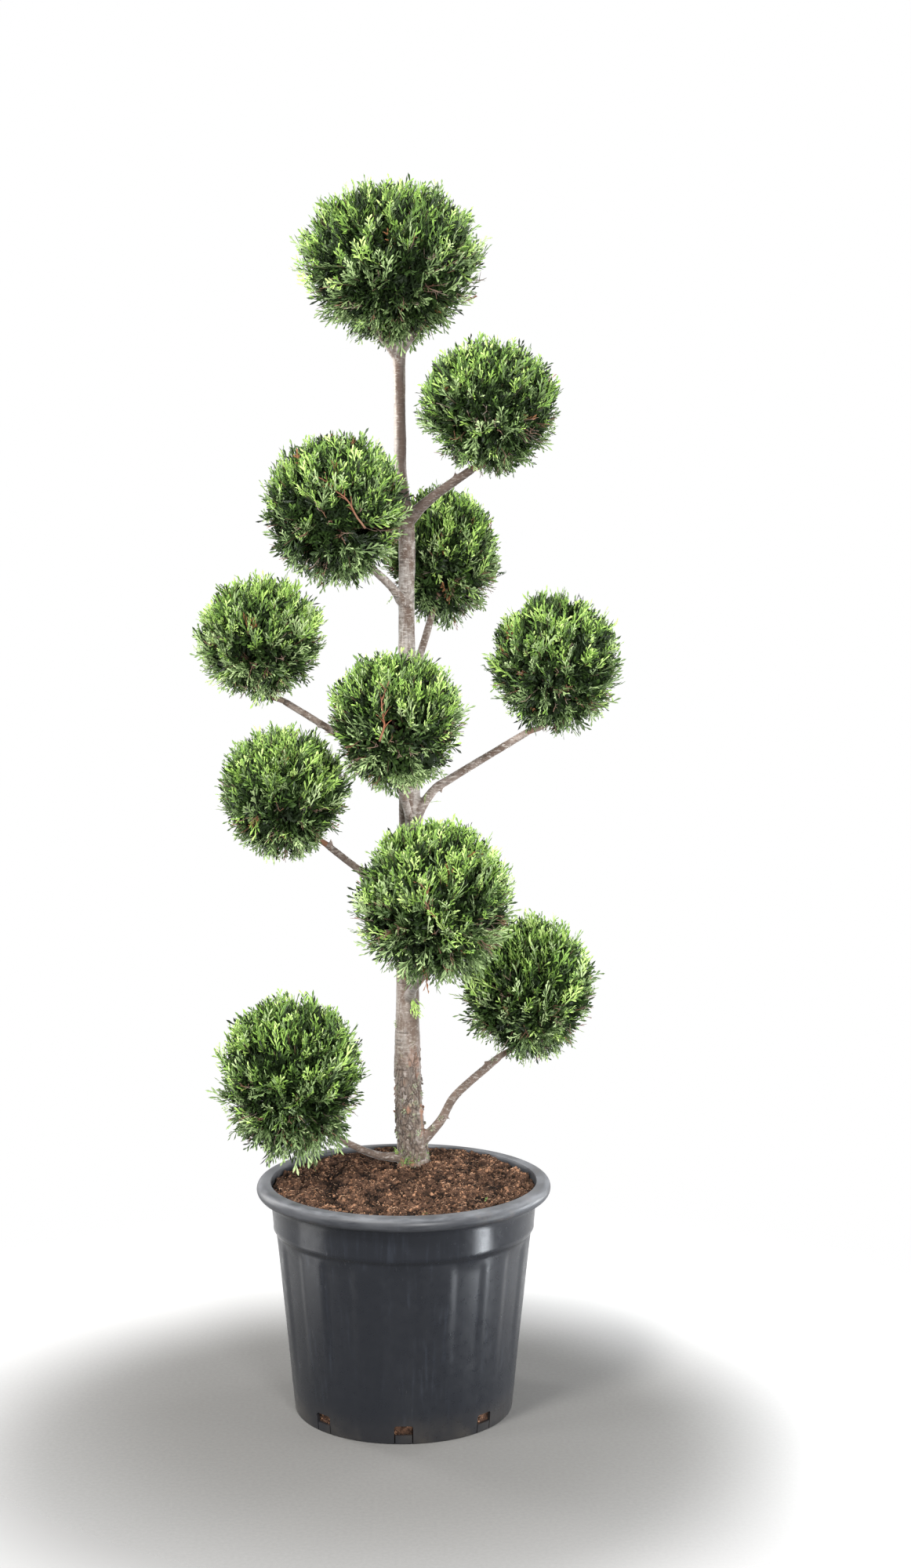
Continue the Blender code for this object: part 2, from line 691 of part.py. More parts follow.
def spray_tip(ball, root, aim, share):
    """The point along aim where the spray comes to this share of the ball's reach."""
    low, high = 0.0, 2.0 * max(ball.half)
    for _ in range(24):
        middle = 0.5 * (low + high)
        if share_of(ball, root + middle * aim) < share:
            low = middle
        else:
            high = middle
    return root + low * aim


def main():
    clear_scene()
    plastic = material("pot_plastic", (0.030, 0.031, 0.034), 0.45)
    medium = material("growing_medium", (0.085, 0.040, 0.020), 0.95)
    bark = material("bark", (0.30, 0.23, 0.19), 0.85)
    leaf = material("foliage", (0.09, 0.20, 0.035), 0.60)
    make_pot(plastic)
    make_soil(medium)
    trunk_space = make_trunk("trunk_space", bark, GAP)
    trunk_space.hide_render = True
    trunk_space.display_type = "WIRE"
    make_trunk("trunk", bark)
    for number in BOUGHS:
        make_bough(number, trunk_space, bark)
    limbs = limb_segments()
    for number in BALLS:
        make_ball(number, limbs, trunk_space, leaf, bark)
    bpy.data.objects.remove(trunk_space)


main()
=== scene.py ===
"""The looks of a Leyland cypress trained as a pom-pom tree, in a round nursery pot.

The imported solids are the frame. Finer meshes replace them, made by the same rules from the same
named sizes: a moulded pot, a crumbly growing medium, wood with its bark's relief, and for each
clipped ball the twigs and the flat sprays that grow on them. Lengths are in metres, +Z is up and
-Y is the front.
"""

import functools
import math
import random
from collections import namedtuple

import bmesh
import bpy
import numpy as np
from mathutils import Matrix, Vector, noise

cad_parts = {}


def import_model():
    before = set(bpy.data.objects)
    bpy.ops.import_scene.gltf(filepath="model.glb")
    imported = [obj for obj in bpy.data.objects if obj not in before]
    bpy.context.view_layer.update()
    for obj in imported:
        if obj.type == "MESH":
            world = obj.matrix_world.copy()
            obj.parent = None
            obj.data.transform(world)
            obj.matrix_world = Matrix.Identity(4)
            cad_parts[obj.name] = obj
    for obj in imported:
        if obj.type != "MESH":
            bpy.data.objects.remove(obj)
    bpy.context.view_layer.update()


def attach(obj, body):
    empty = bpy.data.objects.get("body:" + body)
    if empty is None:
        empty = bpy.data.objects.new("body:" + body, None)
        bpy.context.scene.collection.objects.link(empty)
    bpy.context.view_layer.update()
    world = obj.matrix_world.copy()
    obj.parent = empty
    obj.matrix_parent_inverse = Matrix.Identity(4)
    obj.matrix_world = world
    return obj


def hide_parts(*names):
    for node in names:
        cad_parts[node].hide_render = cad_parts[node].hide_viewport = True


# Camera: the photograph's frame is 1162 by 2000 pixels, and its optical axis lies above the middle
FRAME_HEIGHT_PX = 2000.0
FOCAL_PX = 2726.87
AXIS_Y_PX = 836.3
SENSOR_MM = 36.0
CAMERA_PLACE = (0.0084, -3.1833, 1.1786)
CAMERA_DOWN = 0.0185
CAMERA_RIGHT = 0.0216

# Clearances of the growing medium from the pot, and of sprays from limbs and from the pot
GAP = 0.0003
LIMB_CLEARANCE = 0.002
POT_CLEARANCE = 0.004

# Pot: a tapered wall with shallow flutes, a plain band and a rolled rim
POT_HEIGHT = 0.338
BASE_RADIUS = 0.162
WALL_TOP_Z = 0.262
WALL_TOP_RADIUS = 0.1905
BAND_STEP_Z = 0.2695
BAND_LOW_Z = 0.2755
BAND_LOW_RADIUS = 0.1945
RIM_LOW_Z = 0.3175
BAND_TOP_RADIUS = 0.1985
RIM_RADIUS = 0.2194
# The rim's pale scuffs are wear, and grow stronger up these heights as a painted highlight along the top of
# the roll
RIM_HIGHLIGHT_Z = (0.3305, 0.3375)
MOUTH_RADIUS = 0.1986
LEDGE_RADIUS = 0.1964
WALL_THICKNESS = 0.0045
FLOOR_THICKNESS = 0.004
POT_SEGMENTS = 432
FLUTES = 12
FLUTE_DEPTH = 0.0022
FLUTE_HALF_ANGLE = math.radians(8.0)
FLUTE_EDGE_ANGLE = math.radians(2.8)
FLUTE_FADE_LOW = (0.035, 0.150)
FLUTE_FADE_HIGH = (0.250, 0.266)
WALL_ROWS = 26
BAND_ROWS = 8
RIM_ARC_STEPS = 18
FOOT_ROUNDING = 0.0018
FLASH_LINE = 0.0006
POT_WOBBLE = 0.0005

# Drain slots: a window low in the wall, with a slit from each lower corner to the base
DRAIN_SLOTS = 8
SLOT_WIDTH = 0.027
SLOT_LOW_Z = 0.013
SLOT_HIGH_Z = 0.027
SLIT_WIDTH = 0.0016
SLOT_ROUNDING = 0.0035
SLOT_OVERRUN = 0.003

# Growing medium: its lumps and its fine waves each have a height, a scale and a seed of their noise
SOIL_EDGE_Z = 0.3285
SEAT_Z = 0.3430
SEAT_RADIUS = 0.034
SOIL_SIDE_TOP = 0.318
SOIL_SEGMENTS = 240
SOIL_RINGS = 96
SOIL_SIDE_ROWS = 14
SOIL_LUMPS = ((0.50, 33.0, 5.0), (0.36, 76.0, 17.0), (0.28, 165.0, 11.0))
SOIL_WAVES = ((0.0035, 14.0, 0.0), (0.0012, 330.0, 2.0))
LUMP_HEIGHT = 0.0120
CRUMB_HEIGHT = 0.0040
SOIL_DROP = 0.0030
CRUMBS = 10500
WINDOW_CRUMBS = 110
FIBRES = 4800
SOIL_SPECKS = ((-0.074, -0.148), (0.030, -0.156), (0.121, -0.092), (-0.030, 0.150))

# Trunk: (x, y, z, radius) up its centre line, from the flat cut to the fork
TRUNK_LINE = (
    (0.0150, 0.067, 0.336, 0.0250), (0.0140, 0.067, 0.358, 0.0228), (0.0110, 0.067, 0.385, 0.0216),
    (0.0080, 0.066, 0.420, 0.0210), (0.0056, 0.066, 0.480, 0.0200), (0.0053, 0.065, 0.560, 0.0182),
    (0.0066, 0.065, 0.700, 0.0168), (0.0088, 0.065, 0.850, 0.0170), (0.0080, 0.065, 0.960, 0.0150),
    (0.0050, 0.065, 1.100, 0.0129), (0.0040, 0.065, 1.200, 0.0126), (0.0050, 0.065, 1.290, 0.0126),
    (0.0020, 0.065, 1.335, 0.0120), (-0.0040, 0.065, 1.385, 0.0100), (-0.0055, 0.065, 1.440, 0.0093),
    (-0.0063, 0.065, 1.520, 0.0093), (-0.0067, 0.066, 1.562, 0.0096), (-0.0074, 0.066, 1.582, 0.0116),
    (-0.0076, 0.066, 1.594, 0.0135),
)
FLARE_TOP_Z = 0.40
FLARE_LOBES = 3
FLARE_LOBE_SHARE = 0.07
FORK_START = (-0.009, 0.066, 1.573)
FORK_ARMS = (
    (-0.0400, 0.060, 1.6105, 0.0070),
    (0.0150, 0.058, 1.6080, 0.0072),
    (-0.0110, 0.086, 1.6110, 0.0080),
)
FORK_ARM_ROOT_RADIUS = 0.0098

# Boughs: radii at root and tip, how brown, and the centre line from the trunk's middle to the tip
Bough = namedtuple("Bough", "root_radius tip_radius brown line")
BOUGHS = {
    2: Bough(0.0085, 0.0065, 0.75, ((0.002, 0.065, 1.322), (0.047, 0.050, 1.361), (0.104, 0.031, 1.400))),
    3: Bough(0.0070, 0.0060, 0.25, ((0.003, 0.062, 1.196), (-0.020, 0.028, 1.224), (-0.046, 0.000, 1.249))),
    4: Bough(0.0068, 0.0055, 0.30, ((0.008, 0.068, 1.075), (0.025, 0.100, 1.120), (0.044, 0.130, 1.182))),
    5: Bough(0.0064, 0.0054, 0.60, ((0.007, 0.066, 0.936), (-0.090, 0.082, 0.992), (-0.184, 0.089, 1.049))),
    6: Bough(0.0076, 0.0055, 0.50, ((0.010, 0.064, 0.860), (0.043, 0.056, 0.912), (0.075, 0.050, 0.935),
                                    (0.187, 0.036, 1.004))),
    7: Bough(0.0066, 0.0058, 0.15, ((0.012, 0.060, 0.845), (0.006, 0.015, 0.885), (-0.005, -0.030, 0.927))),
    8: Bough(0.0064, 0.0055, 0.70, ((0.006, 0.065, 0.730), (-0.062, 0.060, 0.788), (-0.118, 0.055, 0.833))),
    9: Bough(0.0068, 0.0060, 0.00, ((0.006, 0.062, 0.596), (0.016, 0.018, 0.622), (0.033, -0.026, 0.650))),
    10: Bough(0.0080, 0.0060, 1.00, ((0.012, 0.067, 0.362), (0.054, 0.066, 0.406), (0.080, 0.065, 0.449),
                                     (0.146, 0.060, 0.508))),
    11: Bough(0.0062, 0.0054, 0.90, ((0.010, 0.064, 0.3545), (-0.030, 0.057, 0.3565), (-0.065, 0.047, 0.370),
                                     (-0.110, 0.031, 0.397))),
}
BOUGH_STEPS = 24
COLLAR_START = 0.016
COLLAR_SHARE = 0.45
COLLAR_LENGTH = 0.012

# Cut stubs and side twigs on the boughs: bough, place along it, way out, length and radius
STUBS = (
    (2, 0.74, (0.20, -0.10, 1.0), 0.012, 0.0017),
    (6, 0.52, (0.30, -0.20, -1.0), 0.007, 0.0026),
    (6, 0.30, (0.20, -0.40, -1.0), 0.004, 0.0024),
    (10, 0.42, (0.90, -0.30, -0.5), 0.006, 0.0014),
    (10, 0.90, (-0.60, -0.20, 0.8), 0.004, 0.0030),
    (8, 0.93, (-0.10, -0.30, 0.9), 0.012, 0.0022),
    (5, 0.72, (-0.10, -0.20, -1.0), 0.003, 0.0026),
)

# Bark relief
WOOD_VOXEL = 0.0018
WOOD_SMOOTHING = 5
TRUNK_SIDES = 40
BOUGH_SIDES = 20
PLATE_TOP_Z = (0.440, 0.535)
PLATE_WIDTH = 0.0058
PLATE_STRETCH = 0.50
PLATE_TILT = 0.0011
FISSURE_DEPTH = 0.0018
FISSURE_SHARE = 0.27
FURROW_DEPTH = 0.0022
FLAKES = 110
FLAKE_THICKNESS = 0.0007

# The rough bark of the lower trunk is a finer sleeve, and the smooth wood runs in under its lower part
SLEEVE_TOP_Z = 0.575
SLEEVE_SIDES = 168
SLEEVE_ROWS = 262
SLEEVE_COVER = (0.535, 0.570)
SLEEVE_LIFT = 0.00048
SLEEVE_SINK = 0.0014

# Lichen and moss on the trunk: height, angle round it from the front, size and count of tiny leaves
LICHENS = (
    (0.558, -78, 0.0060, 34), (0.4525, 74, 0.0050, 24), (0.3905, -80, 0.0070, 40), (0.468, 35, 0.0045, 16),
    (0.428, -20, 0.0045, 18), (0.395, 30, 0.0050, 18), (0.372, 84, 0.0080, 40), (0.440, 160, 0.0060, 24),
    (0.385, 215, 0.0070, 30),
)
MOSSES = (
    (0.352, -58, 0.0190, 230), (0.350, -25, 0.0140, 90),
    (0.355, 62, 0.0150, 200), (0.349, 170, 0.0140, 120),
)

# Lichen on the boughs: bough, place along it, size and count of tiny leaves
BOUGH_LICHENS = (
    (10, 0.24, 0.0050, 22), (10, 0.36, 0.0045, 20),
    (10, 0.95, 0.0060, 26), (11, 0.10, 0.0060, 26),
)

# Green sprigs on the wood: bough, place along it, way out, length and count of sprays
SPRIGS = (
    (6, 0.20, (0.5, -0.6, 0.5), 0.016, 3),
    (9, 0.22, (0.5, -0.3, -0.8), 0.026, 5),
    (11, 0.12, (-0.3, -0.7, 0.7), 0.018, 4),
    (3, 0.35, (-0.6, -0.3, -0.8), 0.014, 2),
)
SPRIG_TONE = 4.2

# Clipped balls: number, centre, half sizes across, deep and tall, how far the lower half draws in, by how
# many tones the leaves are lighter, how many sprays hang at the underside, and how far those reach
Ball = namedtuple("Ball", "number centre half narrow shade skirt skirt_reach")
BALLS = (
    Ball(1, (-0.018, 0.065, 1.710), (0.147, 0.142, 0.127), 0.46, 0.20, 130, 1.10),
    Ball(2, (0.128, 0.020, 1.489), (0.109, 0.108, 0.101), 0.10, 0.20, 28, 1.04),
    Ball(3, (-0.101, -0.030, 1.335), (0.110, 0.108, 0.114), 0.12, -0.10, 50, 1.08),
    Ball(4, (0.061, 0.160, 1.270), (0.091, 0.088, 0.111), 0.10, 0.40, 28, 1.04),
    Ball(5, (-0.220, 0.090, 1.142), (0.100, 0.098, 0.097), 0.15, 0.80, 28, 1.04),
    Ball(6, (0.227, 0.030, 1.106), (0.102, 0.100, 0.106), 0.20, 0.05, 28, 1.04),
    Ball(7, (-0.011, -0.070, 1.024), (0.103, 0.100, 0.104), 0.15, 0.60, 28, 1.04),
    Ball(8, (-0.180, 0.050, 0.909), (0.100, 0.098, 0.100), 0.12, 0.65, 28, 1.04),
    Ball(9, (0.044, -0.090, 0.763), (0.121, 0.118, 0.119), 0.10, 0.50, 90, 1.10),
    Ball(10, (0.189, 0.060, 0.609), (0.106, 0.104, 0.111), 0.15, 0.75, 28, 1.04),
    Ball(11, (-0.169, 0.010, 0.489), (0.112, 0.110, 0.121), 0.10, 0.20, 110, 1.17),
)
SKIRT_TOP = -0.55
# The skirt's sprays take tones in this range, in the underside's painted shade
SKIRT_TONES = (0.4, 3.2)

# Twigs: the stem forks near the middle, first twigs leave there, and second twigs leave those
FIRST_TWIGS = 7
STEM_FORK_SHARE = 0.15
SECOND_FORK_SHARE = 0.45
FIRST_TWIG_SHARE = 0.54
STEM_BEND_SHARE = 0.35
FORK_TWIG_RADIUS = 0.0035
TWIG_RADIUS = 0.0022
TWIG_TIP_RADIUS = 0.0011
SECOND_TWIGS_PER_METRE = 236
DIRECTION_SHIFT = 0.10
SPRAY_ROOT_SHARE = 0.50

# Branchlets carry the second twigs on to the clipped surface, and sprays leave them to both sides.
# Between the tufts the branchlets stay short, which leaves dark hollows in the surface, and the sprays there
# are painted darker as shade.
BRANCHLETS_PER_METRE = 2100
BRANCHLET_SHARE = (0.86, 0.965)
HOLLOW_SHARE = (0.64, 0.78)
BRANCHLET_LIFT = 0.70
BRANCHLET_SWAY = 0.30
BRANCHLET_RADIUS = 0.0010
BRANCHLET_TIP_RADIUS = 0.0006
BRANCHLET_STEPS = 4
SPRAYS_PER_BRANCHLET = 8
SPRAY_LENGTH = 0.044
SPRAY_LEAST = 0.011
SPRAY_ANGLE = math.radians(34)
SPRAY_LIFT = 1.05
SPRAY_SWAY = 0.26
SPRAY_REACH = (0.868, 1.006)
HOLLOW_REACH = 0.90
WISP_SHARE = 0.075
WISP_REACH = 1.07
FRINGE_SHARE = 0.62
NEIGHBOUR_SHARE = 1.0
TUFT_SCALE = 3.4
TUFT_GAP = -0.16
SURFACE_LUMP = 0.058
BARE_TWIGS_PER_METRE = 420

# Sprays in the darkest tones, a painted shade, fill the inside of a ball, on the second twigs
INNER_SPRAYS_PER_AREA = 125000
INNER_LENGTH = 0.036
INNER_REACH = 0.84
INNER_TONES = (-0.4, 1.2)

# One spray: an axis, alternate side shoots, and short shoots on the longest of those
SPRAY_KINDS = 10
SIDE_SHOOTS = 6
SIDE_SHARE = 0.58
SHOOT_END_SHARE = 1.24
SHOOT_WIDTH = 0.0034
SHOOT_TONE_SPREAD = 0.75
SHOOT_WIDEST = 0.74
SHOOT_FOLD = 0.26

# Brown twigs that show on the face of a ball: the ball, and the ends of the twig
FACE_TWIGS = (
    (3, (-0.1127, -0.117, 1.3847), (-0.0544, -0.122, 1.3040)),
    (7, (-0.0185, -0.144, 1.0904), (-0.0338, -0.160, 1.0013)),
    (9, (0.0236, -0.188, 0.8034), (0.0465, -0.194, 0.7552)),
)

# Foliage tones, a ladder from painted shade inside to the young tips in painted light, as plain colours,
# then the outer four again in the greyer painted shade of the undersides, and the rare dry spray
LEAF_TONES = {
    "shade": (0.009, 0.018, 0.005),
    "deep": (0.028, 0.056, 0.012),
    "dark": (0.100, 0.182, 0.040),
    "mid": (0.186, 0.318, 0.060),
    "bright": (0.304, 0.460, 0.106),
    "tip": (0.460, 0.615, 0.205),
    "underside_shade_dark": (0.084, 0.130, 0.046),
    "underside_shade_mid": (0.154, 0.228, 0.086),
    "underside_shade_bright": (0.266, 0.362, 0.156),
    "underside_shade_tip": (0.390, 0.490, 0.240),
    "dry": (0.230, 0.105, 0.045),
}
BRIGHTEST_TONE = 5
FIRST_UNDERSIDE_SHADE_TONE = 6
UNDERSIDE_SHADE_TONES = 4
DRY_TONE = 10
# Shares of sprays in the underside's painted shade, from the lowest-facing to the top
UNDERSIDE_SHADE_SHARE = (0.92, 0.15)
DRY_SHARE = 0.006

# Colours of the other materials
PLASTIC = {
    "wall": (0.0096, 0.0108, 0.0140),
    "wall_scuff": (0.024, 0.028, 0.037),
    "scratch": (0.100, 0.104, 0.110),
    "rim_scuff_and_highlight": (0.142, 0.148, 0.160),
    "stain": (0.110, 0.092, 0.076),
    "dust": (0.036, 0.032, 0.028),
}
BARK = {
    "pale": (0.300, 0.272, 0.250),
    "brown": (0.128, 0.090, 0.070),
    "limb_red": (0.150, 0.090, 0.066),
    "limb_grey": (0.080, 0.062, 0.052),
    "streak": (0.115, 0.080, 0.060),
    "pale_line": (0.480, 0.440, 0.400),
    "dark_line": (0.110, 0.074, 0.056),
    "spot": (0.500, 0.470, 0.440),
    # The upper trunk's painted shade round its right and front, and its painted light on the left
    "young": (0.040, 0.026, 0.020),
    "painted_light_left": (0.43, 0.39, 0.36),
    "lower": (0.100, 0.076, 0.060),
    "plate": (0.108, 0.080, 0.062),
    "rust": (0.270, 0.125, 0.072),
    "lichen": (0.270, 0.300, 0.190),
    # Near-black painted shade in the fissures, furrows and pits
    "fissure": (0.026, 0.019, 0.015),
}
PEATS = {
    "peat_dark": ((0.025, 0.015, 0.010), (0.007, 0.005, 0.003)),
    "peat_brown": ((0.110, 0.060, 0.038), (0.028, 0.015, 0.010)),
    "peat_russet": ((0.300, 0.165, 0.098), (0.120, 0.060, 0.034)),
    "coir": ((0.480, 0.310, 0.205), (0.250, 0.145, 0.088)),
}
# Near-black painted shade laid on the medium in the hollows between its clumps
HOLLOW_PAINTED_SHADE_PEAT = (0.008, 0.005, 0.004)
TWIG_COLOURS = {
    "twig_bare": ((0.165, 0.130, 0.104), (0.170, 0.084, 0.050)),
    # The branchlets' green, kept dark as painted shade inside the balls
    "twig_green_shaded": ((0.040, 0.042, 0.018), (0.062, 0.036, 0.020)),
    "twig_red": ((0.150, 0.078, 0.048), (0.185, 0.070, 0.036)),
}
LICHEN_COLOUR = (0.300, 0.340, 0.220)
MOSS_COLOUR = (0.150, 0.240, 0.070)

# Floor and surround: the floor is darker round the pot as a painted shadow and fades out, and the surround's
# light grows from front to back and upwards
FLOOR_RADIUS = 1.8
FLOOR_SHADOW_PLACE = (-0.06, -0.16, 0.0)
FLOOR_SHADOW = ((0.120, 0.118, 0.113), (0.160, 0.158, 0.153))
FLOOR_PALE = (0.80, 0.80, 0.80)
FLOOR_PALE_RADII = (0.42, 1.00)
FLOOR_FADE_RADII = (0.30, 1.10)
SURROUND_LIGHT = (0.30, 0.80)
SURROUND_TOP = 0.15
WHITE = (1.0, 1.0, 1.0)

# Lights: place, the point each faces, width and height, power and colour
LIGHTS = {
    "key": ((-1.4, -2.2, 3.0), (0.0, 0.0, 0.9), (0.7, 0.7), 160.0, (1.0, 0.98, 0.95)),
    "front": ((0.9, -3.2, 1.1), (0.0, 0.0, 0.9), (0.8, 0.8), 140.0, WHITE),
    "left_side": ((-2.4, -0.9, 1.3), (0.0, 0.0, 1.0), (0.6, 2.0), 46.0, WHITE),
    "right_side": ((2.4, -0.5, 1.1), (0.0, 0.0, 0.9), (1.6, 2.0), 42.0, WHITE),
    "left_back": ((-1.9, 1.2, 1.2), (0.0, 0.0, 1.0), (0.5, 2.2), 46.0, WHITE),
    "right_back": ((1.9, 1.2, 1.0), (0.0, 0.0, 0.9), (0.5, 2.2), 32.0, WHITE),
    "right_low": ((1.6, 0.4, 0.30), (0.0, 0.0, 0.24), (0.6, 0.4), 20.0, (0.90, 0.95, 1.0)),
    "right_floor": ((0.76, -0.34, 0.02), (0.10, -0.10, 0.34), (0.16, 0.34), 4.2, (0.90, 0.95, 1.0)),
    "left_floor": ((-0.62, -0.12, 0.01), (-0.30, -0.05, 0.40), (0.30, 0.50), 1.1, WHITE),
}

GOLDEN_ANGLE = math.pi * (3.0 - math.sqrt(5.0))
UP = np.array((0.0, 0.0, 1.0))


def smoothstep(value, low, high):
    share = np.clip((np.asarray(value, float) - low) / (high - low), 0.0, 1.0)
    return share * share * (3.0 - 2.0 * share)


def unit(vectors):
    vectors = np.asarray(vectors, float)
    return vectors / np.maximum(np.linalg.norm(vectors, axis=-1, keepdims=True), 1e-12)


def noise_at(places, scale, seed=0.0):
    """Smooth noise from about -1 to 1 at each place, times the scale given for x, y and z."""
    spots = np.asarray(places, float) * np.asarray(scale, float) + seed
    return np.array([noise.noise(Vector(spot)) for spot in spots])


def noises(places, layers):
    """The sum of layers of noise, each with its height, scale and seed."""
    return sum(height * noise_at(places, scale, seed) for height, scale, seed in layers)


def turns(count):
    """Angles shared evenly over a full turn."""
    return math.tau * np.arange(count) / count


def around(radius, angle, z):
    """Places round the axis, by angles from the front towards the right."""
    return np.stack(np.broadcast_arrays(radius * np.sin(angle), -radius * np.cos(angle), z), -1)


def on_sphere(z, angle):
    flat = np.sqrt(1.0 - z * z)
    return np.stack((flat * np.cos(angle), flat * np.sin(angle), z), -1)


def spiral_ways(count, turn):
    """Directions shared evenly over a sphere."""
    steps = np.arange(count)
    return on_sphere(1.0 - 2.0 * (steps + 0.5) / count, GOLDEN_ANGLE * steps + turn)


# Meshes


def new_object(name, data):
    obj = bpy.data.objects.new(name, data)
    bpy.context.scene.collection.objects.link(obj)
    return obj


def mesh_object(name, points, triangles, finishes, slots=None, smooth=False):
    """A named object from arrays of points, triangles and each triangle's material slot."""
    triangles = np.asarray(triangles, np.int32)
    mesh = bpy.data.meshes.new(name)
    mesh.vertices.add(len(points))
    mesh.vertices.foreach_set("co", np.asarray(points, np.float32).ravel())
    mesh.loops.add(triangles.size)
    mesh.loops.foreach_set("vertex_index", triangles.ravel())
    mesh.polygons.add(len(triangles))
    mesh.polygons.foreach_set("loop_start", np.arange(0, triangles.size, 3, dtype=np.int32))
    for finish in finishes:
        mesh.materials.append(finish)
    if slots is not None:
        mesh.polygons.foreach_set("material_index", np.asarray(slots, np.int32))
    mesh.polygons.foreach_set("use_smooth", np.full(len(triangles), smooth))
    mesh.update(calc_edges=True)
    mesh.validate()
    return new_object(name, mesh)


class Heap:
    """Gathers points, triangles and slots of many small shapes for one joined mesh."""

    def __init__(self):
        self.points = []
        self.triangles = []
        self.slots = []
        self.count = 0

    def add(self, points, triangles, slots=0):
        points = np.asarray(points, float).reshape(-1, 3)
        triangles = np.asarray(triangles, int).reshape(-1, 3)
        self.points.append(points)
        self.triangles.append(triangles + self.count)
        self.slots.append(np.broadcast_to(slots, len(triangles)))
        self.count += len(points)

    def add_tubes(self, paths, first, last, sides, slot=0):
        """Closed tubes along paths, with a radius that goes evenly from the first to the last."""
        self.add(*tubes(paths, np.linspace(first, last, paths.shape[1]), sides), slot)

    def make(self, name, finishes, smooth=False):
        points, triangles, slots = map(np.concatenate, (self.points, self.triangles, self.slots))
        return mesh_object(name, points, triangles, finishes, slots, smooth)


def grid_triangles(rows, columns):
    """Triangles between rows of points, each row a closed ring."""
    index = np.arange(rows * columns).reshape(rows, columns)
    after = np.roll(index, -1, 1)
    a, b, c, d = index[:-1], after[:-1], after[1:], index[1:]
    return np.stack((np.stack((a, b, c), -1), np.stack((a, c, d), -1)), 2).reshape(-1, 3)


def capped(rings, first_middle, last_middle):
    """Points and triangles of rings of points, closed by a fan to a middle at each end."""
    rows, columns = rings.shape[:2]
    here = np.arange(columns)
    after = np.roll(here, -1)
    last = (rows - 1) * columns
    first_fan = np.stack((np.full(columns, rows * columns), after, here), -1)
    last_fan = np.stack((np.full(columns, rows * columns + 1), last + here, last + after), -1)
    points = np.concatenate((rings.reshape(-1, 3), (first_middle, last_middle)))
    return points, np.concatenate((grid_triangles(rows, columns), first_fan, last_fan))


def smooth_line(points, steps):
    """Points evenly shared along a Catmull-Rom curve through the given ones."""
    points = [np.array(p, float) for p in points]
    padded = [2.0 * points[0] - points[1], *points, 2.0 * points[-1] - points[-2]]
    spans = len(points) - 1
    line = []
    for i in range(steps + 1):
        place = spans * i / steps
        span = min(int(place), spans - 1)
        t = place - span
        a, b, c, d = padded[span : span + 4]
        square = 2.0 * a - 5.0 * b + 4.0 * c - d
        cube = 3.0 * b - a - 3.0 * c + d
        line.append(0.5 * (2.0 * b + (c - a) * t + square * t**2 + cube * t**3))
    return np.array(line)


def tubes(paths, radii, sides):
    """Closed tubes along many paths of the same number of steps: points and triangles."""
    count, steps = paths.shape[:2]
    radii = np.broadcast_to(radii, (count, steps))
    tangent = unit(np.gradient(paths, axis=1))
    mean_way = unit(tangent.mean(axis=1, keepdims=True))
    helper = np.where(np.abs(mean_way[..., 2:]) < 0.8, UP, (1.0, 0.0, 0.0))
    side = unit(np.cross(tangent, helper))
    across = np.cross(tangent, side)
    angles = turns(sides)[:, None]
    spokes = np.cos(angles) * side[:, :, None] + np.sin(angles) * across[:, :, None]
    points = paths[:, :, None] + radii[:, :, None, None] * spokes
    index = np.arange(count * steps * sides).reshape(count, steps, sides)
    a, c = index[:, :-1], index[:, 1:]
    b, d = np.roll(a, -1, 2), np.roll(c, -1, 2)
    walls = (np.stack((a, d, b), -1), np.stack((a, c, d), -1))
    fan = np.arange(1, sides - 1)
    hub = np.zeros_like(fan)
    roots = index[:, 0][:, np.stack((hub, fan, fan + 1), -1)]
    tips = index[:, -1][:, np.stack((hub, fan + 1, fan), -1)]
    return points.reshape(-1, 3), np.concatenate([part.reshape(-1, 3) for part in (*walls, roots, tips)])


# Materials


class Shading:
    """Short ways to add nodes to a tree. A value is a plain one or another node's output."""

    def __init__(self, tree):
        self.tree = tree

    def feed(self, socket, value):
        if isinstance(value, bpy.types.NodeSocket):
            self.tree.links.new(value, socket)
        elif socket.type == "RGBA":
            socket.default_value = (*value, 1.0)
        else:
            socket.default_value = value

    def add(self, kind, inputs=None, **settings):
        node = self.tree.nodes.new("ShaderNode" + kind)
        for key, value in settings.items():
            setattr(node, key, value)
        for key, value in (inputs or {}).items():
            self.feed(node.inputs[key], value)
        return node

    def place(self):
        return self.add("TexCoord").outputs["Object"]

    def own(self, stretch=(1.0, 1.0, 1.0)):
        """The piece's own coordinates, stretched."""
        return self.add("Mapping", {"Vector": self.place(), "Scale": stretch}).outputs["Vector"]

    def height(self):
        return self.add("SeparateXYZ", {0: self.place()}).outputs["Z"]

    def attribute(self, name):
        return self.add("Attribute", attribute_name=name).outputs["Fac"]

    def noise(self, scale, detail=4.0, roughness=0.55, stretch=(1.0, 1.0, 1.0)):
        inputs = {"Vector": self.own(stretch), "Scale": scale, "Detail": detail, "Roughness": roughness}
        return self.add("TexNoise", inputs).outputs["Fac"]

    def remap(self, value, low, high, to_low=0.0, to_high=1.0):
        inputs = {"Value": value, "From Min": low, "From Max": high, "To Min": to_low, "To Max": to_high}
        return self.add("MapRange", inputs, interpolation_type="SMOOTHSTEP").outputs["Result"]

    def math(self, operation, first, second):
        return self.add("Math", {0: first, 1: second}, operation=operation).outputs[0]

    def times(self, *values):
        return functools.reduce(functools.partial(self.math, "MULTIPLY"), values)

    def mixed(self, share, first, second):
        """Colour between two colours."""
        return self.add("Mix", {0: share, 6: first, 7: second}, data_type="RGBA").outputs[2]

    def mixed_value(self, share, first, second):
        return self.add("Mix", {0: share, 2: first, 3: second}, data_type="FLOAT").outputs[0]


